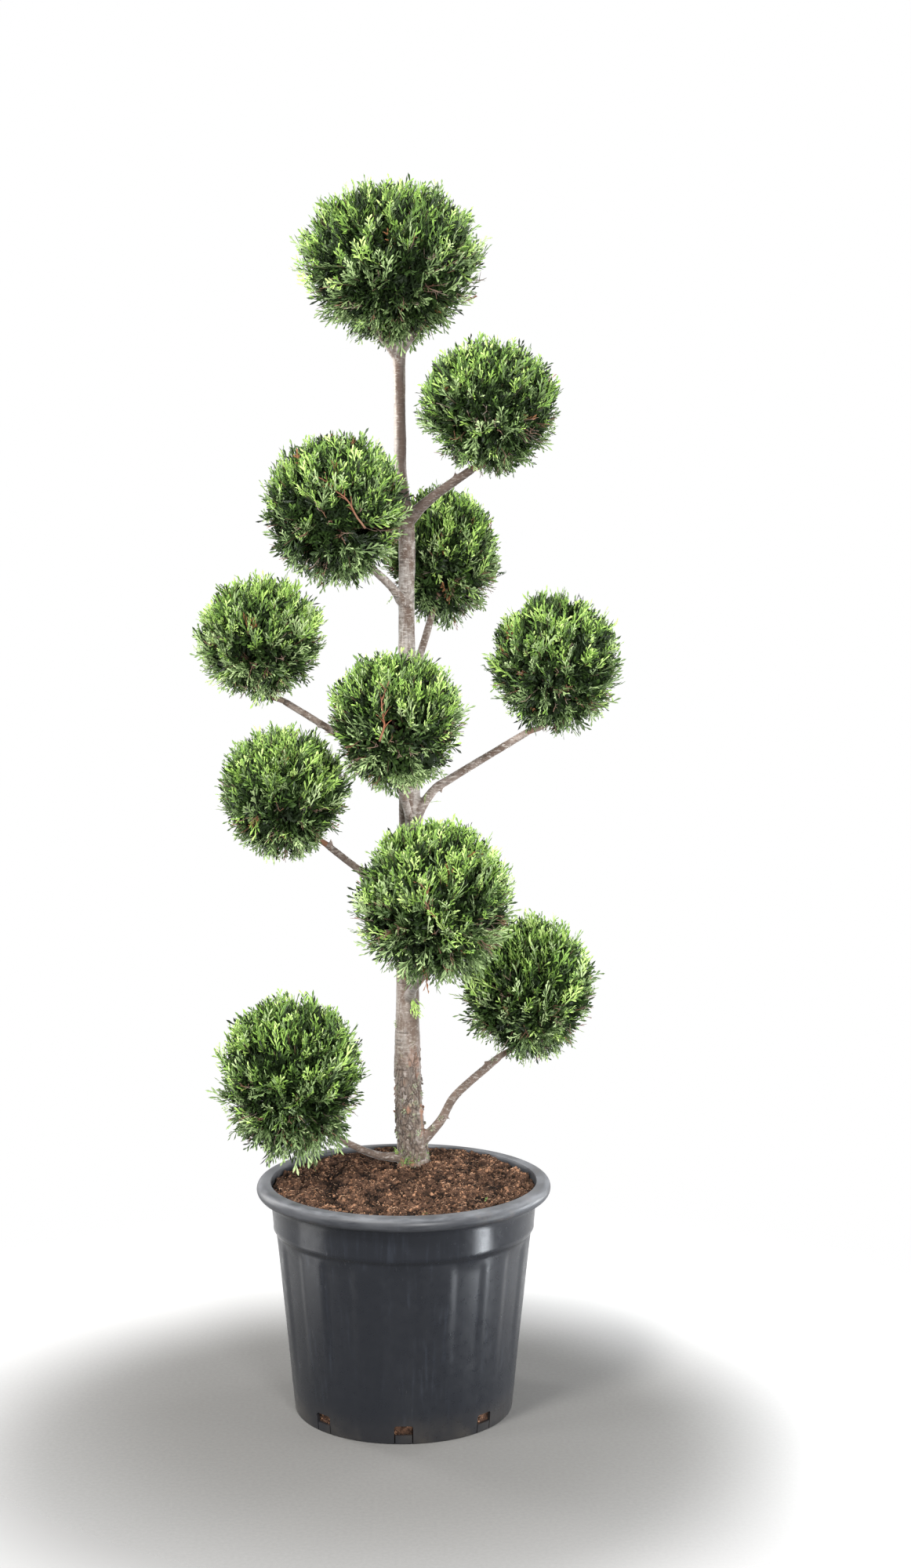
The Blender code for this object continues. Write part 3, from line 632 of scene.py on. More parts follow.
class Finish(Shading):
    """One surface's material, whose colour is laid on in layers."""

    def __init__(self, name, colour, roughness, specular):
        self.material = bpy.data.materials.new(name)
        self.material.use_nodes = True
        super().__init__(self.material.node_tree)
        self.shader = self.tree.nodes["Principled BSDF"]
        self.colour = colour
        self.set(**{"Base Color": colour, "Roughness": roughness, "Specular IOR Level": specular})

    def set(self, **inputs):
        for key, value in inputs.items():
            self.feed(self.shader.inputs[key], value)

    def layer(self, share, colour):
        """Lays a colour over what is there, by a share from 0 to 1."""
        self.colour = self.mixed(share, self.colour, colour)
        self.set(**{"Base Color": self.colour})

    def bump(self, height, strength, distance):
        inputs = {"Height": height, "Strength": strength, "Distance": distance}
        self.set(Normal=self.add("Bump", inputs).outputs["Normal"])


def plastic_material():
    """Dark satin plastic: a scuffed rim with a painted highlight along its top, a glossier band, streaks down
    the wall, dust at the foot.
    """
    made = Finish("pot_plastic", PLASTIC["wall"], 0.30, 0.34)
    z = made.height()
    along_rim = made.noise(1.0, 6.0, 0.65, (16.0, 16.0, 110.0))
    down = made.noise(1.0, 4.0, 0.6, (130.0, 130.0, 6.0))
    blotch = made.noise(14.0, 3.0)
    scratch = made.noise(1.0, 5.0, 0.7, (310.0, 310.0, 40.0))
    on_rim = made.remap(z, RIM_LOW_Z - 0.003, RIM_LOW_Z + 0.001)
    # Painted highlight: the rim's scuffs grow stronger towards the top of the roll
    rim_top_highlight = made.remap(z, *RIM_HIGHLIGHT_Z, 0.22, 1.0)
    on_band = made.times(made.remap(z, BAND_STEP_Z - 0.002, BAND_STEP_Z), made.remap(on_rim, 1.0, 0.0))
    wall_scuff = made.times(made.remap(down, 0.50, 0.80), made.remap(blotch, 0.42, 0.62, 0.0, 0.55))
    made.layer(wall_scuff, PLASTIC["wall_scuff"])
    marks = made.times(made.remap(scratch, 0.62, 0.78), made.remap(blotch, 0.52, 0.66, 0.0, 0.8))
    made.layer(marks, PLASTIC["scratch"])
    rim_scuff_and_highlight = made.times(on_rim, rim_top_highlight, made.remap(along_rim, 0.34, 0.68, 0.35, 1.0))
    made.layer(rim_scuff_and_highlight, PLASTIC["rim_scuff_and_highlight"])
    made.layer(made.times(made.remap(made.noise(31.0), 0.56, 0.70, 0.0, 0.20), on_rim), PLASTIC["stain"])
    dust = made.times(made.remap(z, 0.050, 0.0), made.remap(blotch, 0.40, 0.65, 0.15, 0.7))
    made.layer(dust, PLASTIC["dust"])
    fine = made.noise(70.0, 5.0)
    roughness = made.remap(fine, 0.3, 0.7, 0.26, 0.38)
    roughness = made.mixed_value(on_band, roughness, made.remap(fine, 0.3, 0.7, 0.18, 0.28))
    roughness = made.mixed_value(on_rim, roughness, made.remap(along_rim, 0.35, 0.65, 0.36, 0.56))
    made.set(Roughness=roughness)
    made.bump(made.noise(1.0, 3.0, stretch=(60.0, 60.0, 300.0)), 0.06, 0.0005)
    return made.material


def soil_material(name, light, dark):
    """Peat in two browns, rough and finely lumpy, with painted shade in the hollows between clumps."""
    made = Finish(name, light, 0.95, 0.15)
    made.colour = dark
    made.layer(made.remap(made.noise(95.0, 6.0, 0.75), 0.38, 0.62), light)
    # Painted shade: the hollows between the clumps are darkened
    made.layer(made.attribute("hollow"), HOLLOW_PAINTED_SHADE_PEAT)
    made.bump(made.noise(520.0), 0.8, 0.0014)
    return made.material


def bark_material():
    """Bark: pale and brown patches, old plates, fissures darkened with painted shade, painted shade and light
    on the upper trunk's sides, and lichen near the foot.
    """
    made = Finish("bark", BARK["pale"], 0.84, 0.28)
    z = made.height()
    patch = made.noise(48.0, 5.0, 0.65, (1.0, 1.0, 0.35))
    streak = made.noise(330.0, stretch=(1.0, 1.0, 0.10))
    lines = made.noise(420.0, 3.0, 0.6, (0.25, 0.25, 1.0))
    spots = made.noise(150.0, 3.0, stretch=(1.0, 1.0, 1.6))
    limb = made.attribute("brown")
    near_foot = made.remap(z, 0.56, 0.44)
    bare_trunk = made.times(near_foot, made.remap(limb, 1.0, 0.0))
    made.layer(made.remap(patch, 0.43, 0.61), BARK["brown"])
    limb_brown = made.mixed(made.remap(patch, 0.42, 0.60), BARK["limb_red"], BARK["limb_grey"])
    made.layer(made.times(limb, 0.80), limb_brown)
    made.layer(made.remap(streak, 0.50, 0.68, 0.0, 0.72), BARK["streak"])
    made.layer(made.remap(lines, 0.54, 0.66, 0.0, 0.58), BARK["pale_line"])
    made.layer(made.remap(lines, 0.46, 0.34, 0.0, 0.66), BARK["dark_line"])
    made.layer(made.remap(spots, 0.58, 0.68, 0.0, 0.55), BARK["spot"])
    # Painted shade on the upper trunk's right and front; boughs up there are darkened by their brown instead
    young = made.times(made.remap(z, 1.26, 1.36), made.remap(z, 1.625, 1.535), made.attribute("young"))
    made.layer(made.times(young, made.remap(patch, 0.66, 0.40, 0.84, 0.97)), BARK["young"])
    # Painted light on the upper trunk's left side
    made.layer(made.times(made.attribute("pale"), 0.80), BARK["painted_light_left"])
    made.layer(made.remap(z, 0.86, 0.62, 0.0, 0.42), BARK["lower"])
    old = made.times(near_foot, made.remap(made.attribute("plate"), 0.0, 1.0, 0.80, 0.0))
    made.layer(old, BARK["plate"])
    rust = made.noise(31.0, 3.0, stretch=(1.0, 1.0, 0.5))
    made.layer(made.times(bare_trunk, made.remap(rust, 0.53, 0.60, 0.0, 0.62)), BARK["rust"])
    lichen = made.noise(95.0, 6.0, 0.7)
    made.layer(made.times(bare_trunk, made.remap(lichen, 0.56, 0.65, 0.0, 0.70)), BARK["lichen"])
    # Painted shade in the bark's fissures, furrows and pits
    made.layer(made.attribute("fissure"), BARK["fissure"])
    made.set(**{"Sheen Weight": 0.7, "Sheen Roughness": 0.28})
    made.bump(made.math("ADD", streak, lines), 0.45, 0.0008)
    return made.material


def twig_material(name, grey, red):
    """Thin twigs: grey-brown, and redder where the bark is young."""
    made = Finish(name, grey, 0.85, 0.25)
    made.layer(made.remap(made.noise(34.0), 0.38, 0.62), red)
    made.bump(made.noise(900.0, 2.0), 0.4, 0.0004)
    return made.material


def leaf_material(name, colour):
    """Scale leaves of one tone: a waxy green with a fine scaly relief."""
    made = Finish(name, colour, 0.50, 0.26)
    scales = made.add("TexVoronoi", {"Vector": made.own(), "Scale": 780.0}).outputs["Distance"]
    made.set(Roughness=made.remap(scales, 0.0, 0.7, 0.36, 0.56))
    made.bump(scales, 0.35, 0.0004)
    return made.material


# Pot


def wall_radius(z):
    return BASE_RADIUS + (WALL_TOP_RADIUS - BASE_RADIUS) * z / WALL_TOP_Z


def inner_radius(z):
    """Radius of the pot's plain inner wall."""
    if z < WALL_TOP_Z:
        return wall_radius(z) - WALL_THICKNESS
    share = (z - WALL_TOP_Z) / (RIM_LOW_Z - WALL_TOP_Z)
    return WALL_TOP_RADIUS + (BAND_TOP_RADIUS - WALL_TOP_RADIUS) * share - WALL_THICKNESS


def arc(centre, radius, start, end, steps):
    """Profile points round an arc, with angles in degrees from the outward radius."""
    angles = np.radians(np.linspace(start, end, steps + 1))
    return [(centre[0] + radius * math.cos(a), centre[1] + radius * math.sin(a)) for a in angles]


def pot_profile():
    """(radius, z) from the middle of the foot, up the outside, over the rim and down to the inner floor."""
    foot = arc((BASE_RADIUS - FOOT_ROUNDING, FOOT_ROUNDING), FOOT_ROUNDING, -90.0, 0.0, 5)
    wall = [(wall_radius(z), z) for z in np.linspace(0.006, WALL_TOP_Z - 0.001, WALL_ROWS)]
    band = [
        (WALL_TOP_RADIUS + 0.0002, BAND_STEP_Z - 0.0050),
        (WALL_TOP_RADIUS + 0.0011, BAND_STEP_Z - 0.0040),
        (BAND_LOW_RADIUS - 0.0009, BAND_STEP_Z - 0.0006),
        (BAND_LOW_RADIUS, BAND_STEP_Z + 0.0008),
        (BAND_LOW_RADIUS, BAND_LOW_Z),
        (BAND_TOP_RADIUS - 0.0012, RIM_LOW_Z - 0.012),
        (BAND_TOP_RADIUS, RIM_LOW_Z - 0.0022),
        (BAND_TOP_RADIUS + 0.0014, RIM_LOW_Z - 0.0002),
    ]
    half_tall = 0.5 * (POT_HEIGHT - RIM_LOW_Z)
    middle = (RIM_RADIUS - half_tall, POT_HEIGHT - half_tall)
    flash = [(middle[0] - 0.0010, RIM_LOW_Z), (middle[0] - 0.0004, RIM_LOW_Z - FLASH_LINE)]
    rolled = arc(middle, half_tall, -90.0, 90.0, RIM_ARC_STEPS)
    mouth = [(MOUTH_RADIUS + 0.0010, POT_HEIGHT - 0.0002), (MOUTH_RADIUS, POT_HEIGHT - 0.0012)]
    inner = [(inner_radius(z), z) for z in np.linspace(WALL_TOP_Z, FLOOR_THICKNESS, 5)]
    outer = [(0.001, 0.0), *foot, *wall, *band, *flash, *rolled]
    return np.array([*outer, *mouth, (LEDGE_RADIUS, RIM_LOW_Z), *inner, (0.001, FLOOR_THICKNESS)])


def make_pot(finish):
    profile = pot_profile()
    angles = turns(POT_SEGMENTS)
    radius, z = (np.repeat(profile[:, i : i + 1], POT_SEGMENTS, 1) for i in range(2))
    pitch = math.tau / FLUTES
    off = np.abs((angles + 0.5 * pitch) % pitch - 0.5 * pitch)
    across = 1.0 - smoothstep(off, FLUTE_HALF_ANGLE - FLUTE_EDGE_ANGLE, FLUTE_HALF_ANGLE + FLUTE_EDGE_ANGLE)
    hollow = 1.0 + 0.35 * (1.0 - (off / FLUTE_HALF_ANGLE) ** 2)
    fade = smoothstep(z, *FLUTE_FADE_LOW) * (1.0 - smoothstep(z, *FLUTE_FADE_HIGH))
    outside = np.arange(len(profile))[:, None] < WALL_ROWS + BAND_ROWS
    radius = radius - np.where(outside, FLUTE_DEPTH * across * hollow * fade, 0.0)
    wobble = noise_at(around(radius, angles, z).reshape(-1, 3), (9.0, 9.0, 5.0)).reshape(radius.shape)
    radius = radius + POT_WOBBLE * wobble * smoothstep(radius, 0.05, 0.15)
    shape = capped(around(radius, angles, z), (0.0, 0.0, 0.0), (0.0, 0.0, FLOOR_THICKNESS))
    pot = mesh_object("pot_shell", *shape, [finish], smooth=True)
    cutter = slot_cutters(finish)
    modifier = pot.modifiers.new("slots", "BOOLEAN")
    modifier.operation = "DIFFERENCE"
    modifier.object = cutter
    apply_modifiers(pot)
    bpy.data.objects.remove(cutter)
    pot.data.shade_smooth()
    pot.data.set_sharp_from_angle(angle=math.radians(38))
    return pot


def slot_cutters(finish):
    """All the drain windows with the slits below them, as prisms that point away from the pot's axis."""
    half = 0.5 * SLOT_WIDTH
    slit = half - SLIT_WIDTH
    below = -SLOT_OVERRUN
    left = [(-half, below), (-slit, below), (-slit, SLOT_LOW_Z)]
    outline = left + [(-x, z) for x, z in left[::-1]]
    outline += arc((half - SLOT_ROUNDING, SLOT_HIGH_Z - SLOT_ROUNDING), SLOT_ROUNDING, 0.0, 90.0, 4)
    outline += arc((SLOT_ROUNDING - half, SLOT_HIGH_Z - SLOT_ROUNDING), SLOT_ROUNDING, 90.0, 180.0, 4)
    bm = bmesh.new()
    for angle in turns(DRAIN_SLOTS):
        sine, cosine = math.sin(angle), math.cos(angle)
        rings = []
        for depth in (BASE_RADIUS + 2.0 * SLOT_OVERRUN, inner_radius(0.0) - SLOT_OVERRUN):
            spots = [(x * cosine + depth * sine, x * sine - depth * cosine, z) for x, z in outline]
            rings.append([bm.verts.new(spot) for spot in spots])
        far, near = rings
        bm.faces.new(far)
        bm.faces.new(near[::-1])
        for i in range(len(outline)):
            j = (i + 1) % len(outline)
            bm.faces.new((far[i], near[i], near[j], far[j]))
    bmesh.ops.recalc_face_normals(bm, faces=bm.faces)
    mesh = bpy.data.meshes.new("slots")
    bm.to_mesh(mesh)
    bm.free()
    mesh.materials.append(finish)
    return new_object("slots", mesh)


def apply_modifiers(obj):
    bpy.context.view_layer.update()
    graph = bpy.context.evaluated_depsgraph_get()
    made = bpy.data.meshes.new_from_object(obj.evaluated_get(graph))
    obj.modifiers.clear()
    old = obj.data
    obj.data = made
    made.name = obj.name
    bpy.data.meshes.remove(old)


# Growing medium


def soil_lumps(places):
    """The medium's clumps of 1 to 3 cm, above 0, and the hollows between them, below 0."""
    return noises(places * (1.0, 1.0, 0.0), SOIL_LUMPS)


def soil_height(x, y):
    """Height of the medium's surface: it rises to the trunk and lies in clumps with gaps between."""
    away = np.hypot(x - TRUNK_LINE[0][0], y - TRUNK_LINE[0][1])
    share = np.clip((away - SEAT_RADIUS) / (inner_radius(SOIL_EDGE_Z) - SEAT_RADIUS), 0.0, 1.0)
    z = SOIL_EDGE_Z + (SEAT_Z - SOIL_EDGE_Z) * (1.0 - smoothstep(share, 0.0, 1.0))
    flat = np.stack((x, y, np.zeros_like(x)), -1)
    crumbs = 1.0 - 2.0 * np.abs(noise_at(flat, 135.0, 9.0))
    z = z + noises(flat, SOIL_WAVES) + LUMP_HEIGHT * soil_lumps(flat)
    return z + CRUMB_HEIGHT * crumbs - SOIL_DROP


def make_soil(finish):
    angles = turns(SOIL_SEGMENTS)
    shares = np.sqrt(np.linspace(0.0, 1.0, SOIL_RINGS + 1)[1:])
    rings = around(np.outer(shares, np.full(SOIL_SEGMENTS, inner_radius(SOIL_EDGE_Z) - GAP)), angles, 0.0)
    rings[..., 2] = soil_height(rings[..., 0].ravel(), rings[..., 1].ravel()).reshape(rings.shape[:2])
    middle = (0.0, 0.0, rings[0, :, 2].mean())
    floor_z = FLOOR_THICKNESS + GAP
    sides = []
    for low in np.linspace(SOIL_SIDE_TOP, floor_z, SOIL_SIDE_ROWS):
        here = inner_radius(low) - GAP
        ring = around(here, angles, low)
        dents = 0.0012 * (1.0 + noise_at(ring, 90.0, 3.0))
        sides.append(ring * np.stack((1.0 - dents / here, 1.0 - dents / here, np.ones_like(dents)), -1))
    points, triangles = capped(np.concatenate((rings, sides)), middle, (0.0, 0.0, floor_z))
    body = mesh_object("soil_body", points, triangles[:, ::-1], [finish], smooth=True)
    # Marks the hollows between the clumps, where the material paints shade
    store(body, hollow=smoothstep(-soil_lumps(points), -0.06, 0.20) * (points[:, 2] > 0.31))
    return body


def scattered(count, rng, edge):
    """Places spread over the medium's surface, none in the trunk."""
    radius = edge * np.sqrt(rng.uniform(0.0, 1.0, count))
    x, y, _ = around(radius, rng.uniform(0.0, math.tau, count), 0.0).T
    foot = TRUNK_LINE[0]
    free = np.hypot(x - foot[0], y - foot[1]) > foot[3] - 0.001
    x, y = x[free], y[free]
    return np.stack((x, y, soil_height(x, y)), -1)


def behind_windows(rng):
    """Places on the medium's side, behind the drain windows."""
    count = WINDOW_CRUMBS * DRAIN_SLOTS
    z = rng.uniform(SLOT_LOW_Z, SLOT_HIGH_Z, count)
    radius = inner_radius(0.0) - rng.uniform(0.0, 0.0012, count)
    across = rng.uniform(-0.5, 0.5, count) * SLOT_WIDTH
    return around(radius, math.tau * rng.integers(0, DRAIN_SLOTS, count) / DRAIN_SLOTS + across / radius, z)


def make_crumbs(finishes):
    """Crumbs of peat: small lumpy octahedra, part sunk in the surface."""
    rng = np.random.default_rng(71)
    places = scattered(CRUMBS, rng, inner_radius(SOIL_EDGE_Z) - 0.004)
    places = np.concatenate((places, behind_windows(rng)))
    count = len(places)
    size = 0.0007 + 0.0028 * rng.uniform(0.0, 1.0, count) ** 4
    corners = np.array(((1, 0, 0), (0, 1, 0), (-1, 0, 0), (0, -1, 0), (0, 0, 1), (0, 0, -1)), float)
    faces = np.array(((0, 1, 4), (1, 2, 4), (2, 3, 4), (3, 0, 4), (1, 0, 5), (2, 1, 5), (3, 2, 5), (0, 3, 5)))
    corners = corners * rng.uniform(0.6, 1.3, (count, 6, 3)) + rng.uniform(-0.25, 0.25, (count, 6, 3))
    turn = unit_frames(rng.normal(size=(count, 3)), rng.normal(size=(count, 3)))
    points = places[:, None] + size[:, None, None] * np.einsum("nij,njk->nik", corners, turn)
    triangles = faces + 6 * np.arange(count)[:, None, None]
    slots = np.repeat(soil_tones_with_painted_shade(places, rng, len(finishes)), len(faces))
    return mesh_object("soil_crumbs", points.reshape(-1, 3), triangles.reshape(-1, 3), finishes, slots)


def make_fibres(finishes):
    """Coir and peat fibres: bent three-sided threads that lie on the surface."""
    rng = np.random.default_rng(72)
    places = scattered(FIBRES, rng, inner_radius(SOIL_EDGE_Z) - 0.008)
    count = len(places)
    length = 0.0022 + 0.0068 * rng.uniform(0.0, 1.0, count) ** 2.6
    angle = rng.uniform(0.0, math.tau, count)
    way = np.stack((np.cos(angle), np.sin(angle), rng.normal(0.0, 0.30, count)), -1)
    bend = np.stack((-np.sin(angle), np.cos(angle), rng.uniform(-0.2, 0.9, count)), -1)
    bend *= rng.uniform(-0.45, 0.45, count)[:, None]
    shares = np.array((-0.5, -0.15, 0.2, 0.5))[:, None]
    bow = np.array((0.0, 1.0, 0.75, -0.2))[:, None]
    paths = places[:, None] + length[:, None, None] * (shares * way[:, None] + bow * bend[:, None])
    paths[:, :, 2] += 0.0007
    radii = rng.uniform(0.00020, 0.00055, count)[:, None] * np.array((0.7, 1.0, 0.9, 0.35))
    points, triangles = tubes(paths, radii, 3)
    tones = soil_tones_with_painted_shade(places, rng, len(finishes))
    wall = np.repeat(tones, 3 * (len(shares) - 1))
    return mesh_object("soil_fibres", points, triangles, finishes, np.concatenate((wall, wall, tones, tones)))


def soil_tones_with_painted_shade(places, rng, count):
    """A slot from dark to pale for each crumb or fibre: pale on the clumps, and dark in the gaps between them
    as painted shade, with random tone on top.
    """
    # Painted shade: lower places between the clumps take darker slots
    tones = 0.50 + 0.85 * soil_lumps(places) + 0.35 * noise_at(places, 70.0, 31.0)
    tones = tones + rng.normal(0.0, 0.42, len(places))
    return np.clip(np.floor(tones * count), 0, count - 1).astype(int)


# Wood


@functools.cache
def bough_path(number):
    """A bough's centre line and radii."""
    bough = BOUGHS[number]
    line = smooth_line(bough.line, BOUGH_STEPS)
    along = np.concatenate(((0.0,), np.cumsum(np.linalg.norm(np.diff(line, axis=0), axis=1))))
    taper = np.interp(along, (0.0, along[-1]), (bough.root_radius, bough.tip_radius))
    return line, taper * (1.0 + COLLAR_SHARE * np.exp(-np.maximum(along - COLLAR_START, 0.0) / COLLAR_LENGTH))


@functools.cache
def trunk_path():
    """The trunk's centre line and radii at close steps."""
    z = np.linspace(TRUNK_LINE[0][2], TRUNK_LINE[-1][2], 320)
    smooth = smooth_line(TRUNK_LINE, 12 * (len(TRUNK_LINE) - 1))
    x, y, radii = (np.interp(z, smooth[:, 2], smooth[:, i]) for i in (0, 1, 3))
    return np.stack((x, y, z), -1), radii


def trunk_at(z):
    """The trunk's centre and radius at each height."""
    path, sizes = trunk_path()
    centre = [np.interp(z, path[:, 2], path[:, i]) for i in range(3)]
    return np.stack(centre, -1), np.interp(z, path[:, 2], sizes)


def fork_arms():
    """Tip, direction and radius of each arm of the fork."""
    for *tip, radius in FORK_ARMS:
        yield np.array(tip), unit(np.array(tip) - FORK_START), radius


@functools.cache
def limb_segments():
    """Start, end, radius and limb number of each short piece of every limb's centre line."""
    line, sizes = trunk_path()
    limbs = [(line[::8], sizes[::8], 0)]
    for number in BOUGHS:
        line, sizes = bough_path(number)
        limbs.append((line[::2], sizes[::2], number))
    for tip, _, radius in fork_arms():
        limbs.append((np.array((FORK_START, tip)), np.array((FORK_ARM_ROOT_RADIUS, radius)), 1))
    return [
        (start, end, radius, limb)
        for line, sizes, limb in limbs
        for start, end, radius in zip(line[:-1], line[1:], 0.5 * (sizes[:-1] + sizes[1:]))
    ]


def nearest_limb(places):
    """For each place: how far it lies outside the nearest limb, that limb, and the foot on its line."""
    best = np.full(len(places), np.inf)
    found = np.zeros(len(places), int)
    feet = np.zeros((len(places), 3))
    for start, end, radius, limb in limb_segments():
        along = end - start
        share = np.clip((places - start) @ along / (along @ along), 0.0, 1.0)
        foot = start + share[:, None] * along
        outside = np.linalg.norm(places - foot, axis=1) - radius
        closer = outside < best
        best[closer], found[closer], feet[closer] = outside[closer], limb, foot[closer]
    return best, found, feet


def bough_point(number, share):
    """A point on a bough's centre line and the bough's radius there."""
    line, radii = bough_path(number)
    step = round(share * (len(line) - 1))
    return line[step], radii[step]


def make_wood(finish):
    """Trunk, fork and boughs as one wood: tubes fused by a fine remesh, then given the bark's relief."""
    heap = Heap()
    heap.add(*flared_trunk(*trunk_path(), TRUNK_SIDES))
    for number in BOUGHS:
        line, radii = bough_path(number)
        heap.add(*tubes(line[None], radii[None], BOUGH_SIDES))
    for tip, way, radius in fork_arms():
        bend = 0.5 * (tip + FORK_START) + (0.0, 0.0, 0.003)
        arm = smooth_line((FORK_START, bend, tip, tip + 0.02 * way), 12)
        heap.add_tubes(arm[None], FORK_ARM_ROOT_RADIUS, radius, BOUGH_SIDES)
    for number, share, way, length, radius in STUBS:
        root, _ = bough_point(number, share)
        tip = root + (BOUGHS[number].tip_radius + length) * unit(way)
        bend = 0.5 * (root + tip) + 0.12 * length * UP
        heap.add_tubes(smooth_line((root, bend, tip), 8)[None], 1.5 * radius, 0.75 * radius, 10)
    wood = heap.make("wood", [finish], smooth=True)
    modifier = wood.modifiers.new("fuse", "REMESH")
    modifier.mode = "VOXEL"
    modifier.voxel_size = WOOD_VOXEL
    modifier.use_smooth_shade = True
    apply_modifiers(wood)
    give_relief(wood)
    wood.data.shade_smooth()
    return wood


def flared_trunk(line, radii, sides):
    """The trunk's tube with low root lobes near the medium."""
    points, triangles = tubes(line[None], radii[None], sides)
    rings = points.reshape(len(line), sides, 3)
    share = 1.0 - smoothstep(line[:, 2], SEAT_Z, FLARE_TOP_Z)
    swell = FLARE_LOBE_SHARE * share[:, None] * np.cos(FLARE_LOBES * turns(sides))
    rings = rings + (rings - line[:, None]) * swell[:, :, None]
    return rings.reshape(-1, 3), triangles


def smoothed(points, edges, rounds):
    """Points moved towards the mean of their neighbours, a few times."""
    count = np.bincount(edges.ravel(), minlength=len(points))[:, None]
    for _ in range(rounds):
        total = np.zeros_like(points)
        np.add.at(total, edges[:, 0], points[edges[:, 1]])
        np.add.at(total, edges[:, 1], points[edges[:, 0]])
        points = points + 0.5 * (total / np.maximum(count, 1) - points)
    return points


def give_relief(wood):
    """Moves the smooth wood into ridges and lumps, and sinks it where the rough sleeve covers it."""
    mesh = wood.data
    points = np.empty((len(mesh.vertices), 3), np.float32)
    mesh.vertices.foreach_get("co", points.ravel())
    edges = np.empty((len(mesh.edges), 2), np.int32)
    mesh.edges.foreach_get("vertices", edges.ravel())
    points = smoothed(points.astype(float), edges, WOOD_SMOOTHING)
    _, limbs, feet = nearest_limb(points)
    spoke = points - feet
    shift, pits = smooth_relief(points, spoke, limbs)
    shift -= SLEEVE_SINK * (limbs == 0) * (1.0 - smoothstep(points[:, 2], *SLEEVE_COVER))
    points = points + shift[:, None] * unit(spoke)
    mesh.vertices.foreach_set("co", points.astype(np.float32).ravel())
    browns = [BOUGHS[limb].brown if limb in BOUGHS else 0.0 for limb in range(max(BOUGHS) + 1)]
    brown = np.array(browns)[limbs]
    # Painted shade and painted light on the upper trunk and fork; the boughs keep their brown
    shaded, painted_light_left = upper_trunk_painted_shade_and_light(points, spoke)
    young = np.where(limbs <= 1, shaded, brown)
    pale = np.where(limbs <= 1, painted_light_left, 0.0)
    # Painted shade: the smooth bark's small pits are darkened at half strength
    store(wood, fissure=0.5 * pits, plate=1.0, brown=brown, young=young, pale=pale)
    mesh.update()


def upper_trunk_painted_shade_and_light(points, spoke):
    """Painted shade and light on the upper trunk: its bark is painted brown round its right and front as
    shade, and pale on its left as light.
    """
    side = spoke[:, 0] / np.linalg.norm(spoke, axis=1) + 0.45 * noise_at(points, (80.0, 80.0, 22.0), 19.0)
    height = smoothstep(points[:, 2], 1.20, 1.36)
    shaded = smoothstep(side, -0.85, 0.05) * (1.0 - 0.7 * smoothstep(side, 0.70, 1.00))
    return height * shaded, height * (1.0 - smoothstep(side, -0.95, -0.45))


def smooth_relief(points, spoke, limbs):
    """How far smooth bark lies above or below its limb's surface, and where it has small pits."""
    on_trunk = limbs == 0
    along = np.where(on_trunk, points[:, 2], np.linalg.norm(points - spoke - FORK_START, axis=1))
    out = np.where(on_trunk[:, None], spoke * (1.0, 1.0, 0.0), spoke)
    ridges = noise_at(out + 0.16 * along[:, None] * UP + 0.1 * limbs[:, None], 300.0)
    lumps = noise_at(points, (38.0, 38.0, 26.0), 2.0)
    rings = noise_at(points, (30.0, 30.0, 240.0), 6.0)
    shift = np.where(on_trunk, 1.0, 0.55) * (0.00030 * ridges + 0.00080 * lumps + 0.00026 * rings)
    return shift, smoothstep(-rings - 0.25 * ridges, 0.40, 0.60)


def make_sleeve(finish):
    """The lower trunk's rough bark: plates with lifted edges, fissures and long furrows."""
    line, radii = trunk_at(np.linspace(TRUNK_LINE[0][2], SLEEVE_TOP_Z, SLEEVE_ROWS))
    points, triangles = flared_trunk(line, radii, SLEEVE_SIDES)
    z = points[:, 2]
    spoke = points - np.repeat(line, SLEEVE_SIDES, 0)
    shift, pits = smooth_relief(points, spoke, np.zeros(len(points), int))
    patch = noise_at(points, (34.0, 34.0, 22.0), 4.0)
    bare = smoothstep(noise_at(points, (52.0, 52.0, 30.0), 24.0), 0.12, 0.34)
    weight = (1.0 - smoothstep(z + 0.05 * patch, *PLATE_TOP_Z)) * (1.0 - 0.8 * bare)
    weight = np.clip(weight + 0.75 * smoothstep(patch, 0.30, 0.50), 0.0, 1.0)
    weight *= 1.0 - smoothstep(z, SLEEVE_COVER[0] - 0.02, SLEEVE_COVER[1])
    gap, lift, shade = plates(points, spoke, weight)
    furrow = noise_at(spoke * (75.0, 75.0, 0.0) + points * (0.0, 0.0, 17.0), 1.0, 8.0)
    furrow = 1.0 - smoothstep(np.abs(furrow), 0.0, 0.10)
    furrow *= smoothstep(noise_at(points, (20.0, 20.0, 12.0), 14.0), -0.1, 0.25)
    relief = PLATE_TILT * lift - FISSURE_DEPTH * gap - FURROW_DEPTH * furrow
    relief = relief + 0.00022 * noise_at(points, (700.0, 700.0, 350.0))
    fade = SLEEVE_LIFT * (1.0 - 2.2 * smoothstep(z, SLEEVE_COVER[0], SLEEVE_TOP_Z))
    points = points + (shift + weight * relief + fade)[:, None] * unit(spoke)
    sleeve = mesh_object("bark_sleeve", points, triangles, [finish], smooth=True)
    # Painted shade: darkest in the fissures and furrows of the plates, and in the pits of the smooth bark
    dark = weight * np.maximum(0.85 * gap, furrow) + 0.5 * pits * (1.0 - weight)
    store(sleeve, fissure=np.clip(dark, 0.0, 1.0), plate=1.0 - weight * (1.0 - shade), brown=0.0)
    return sleeve


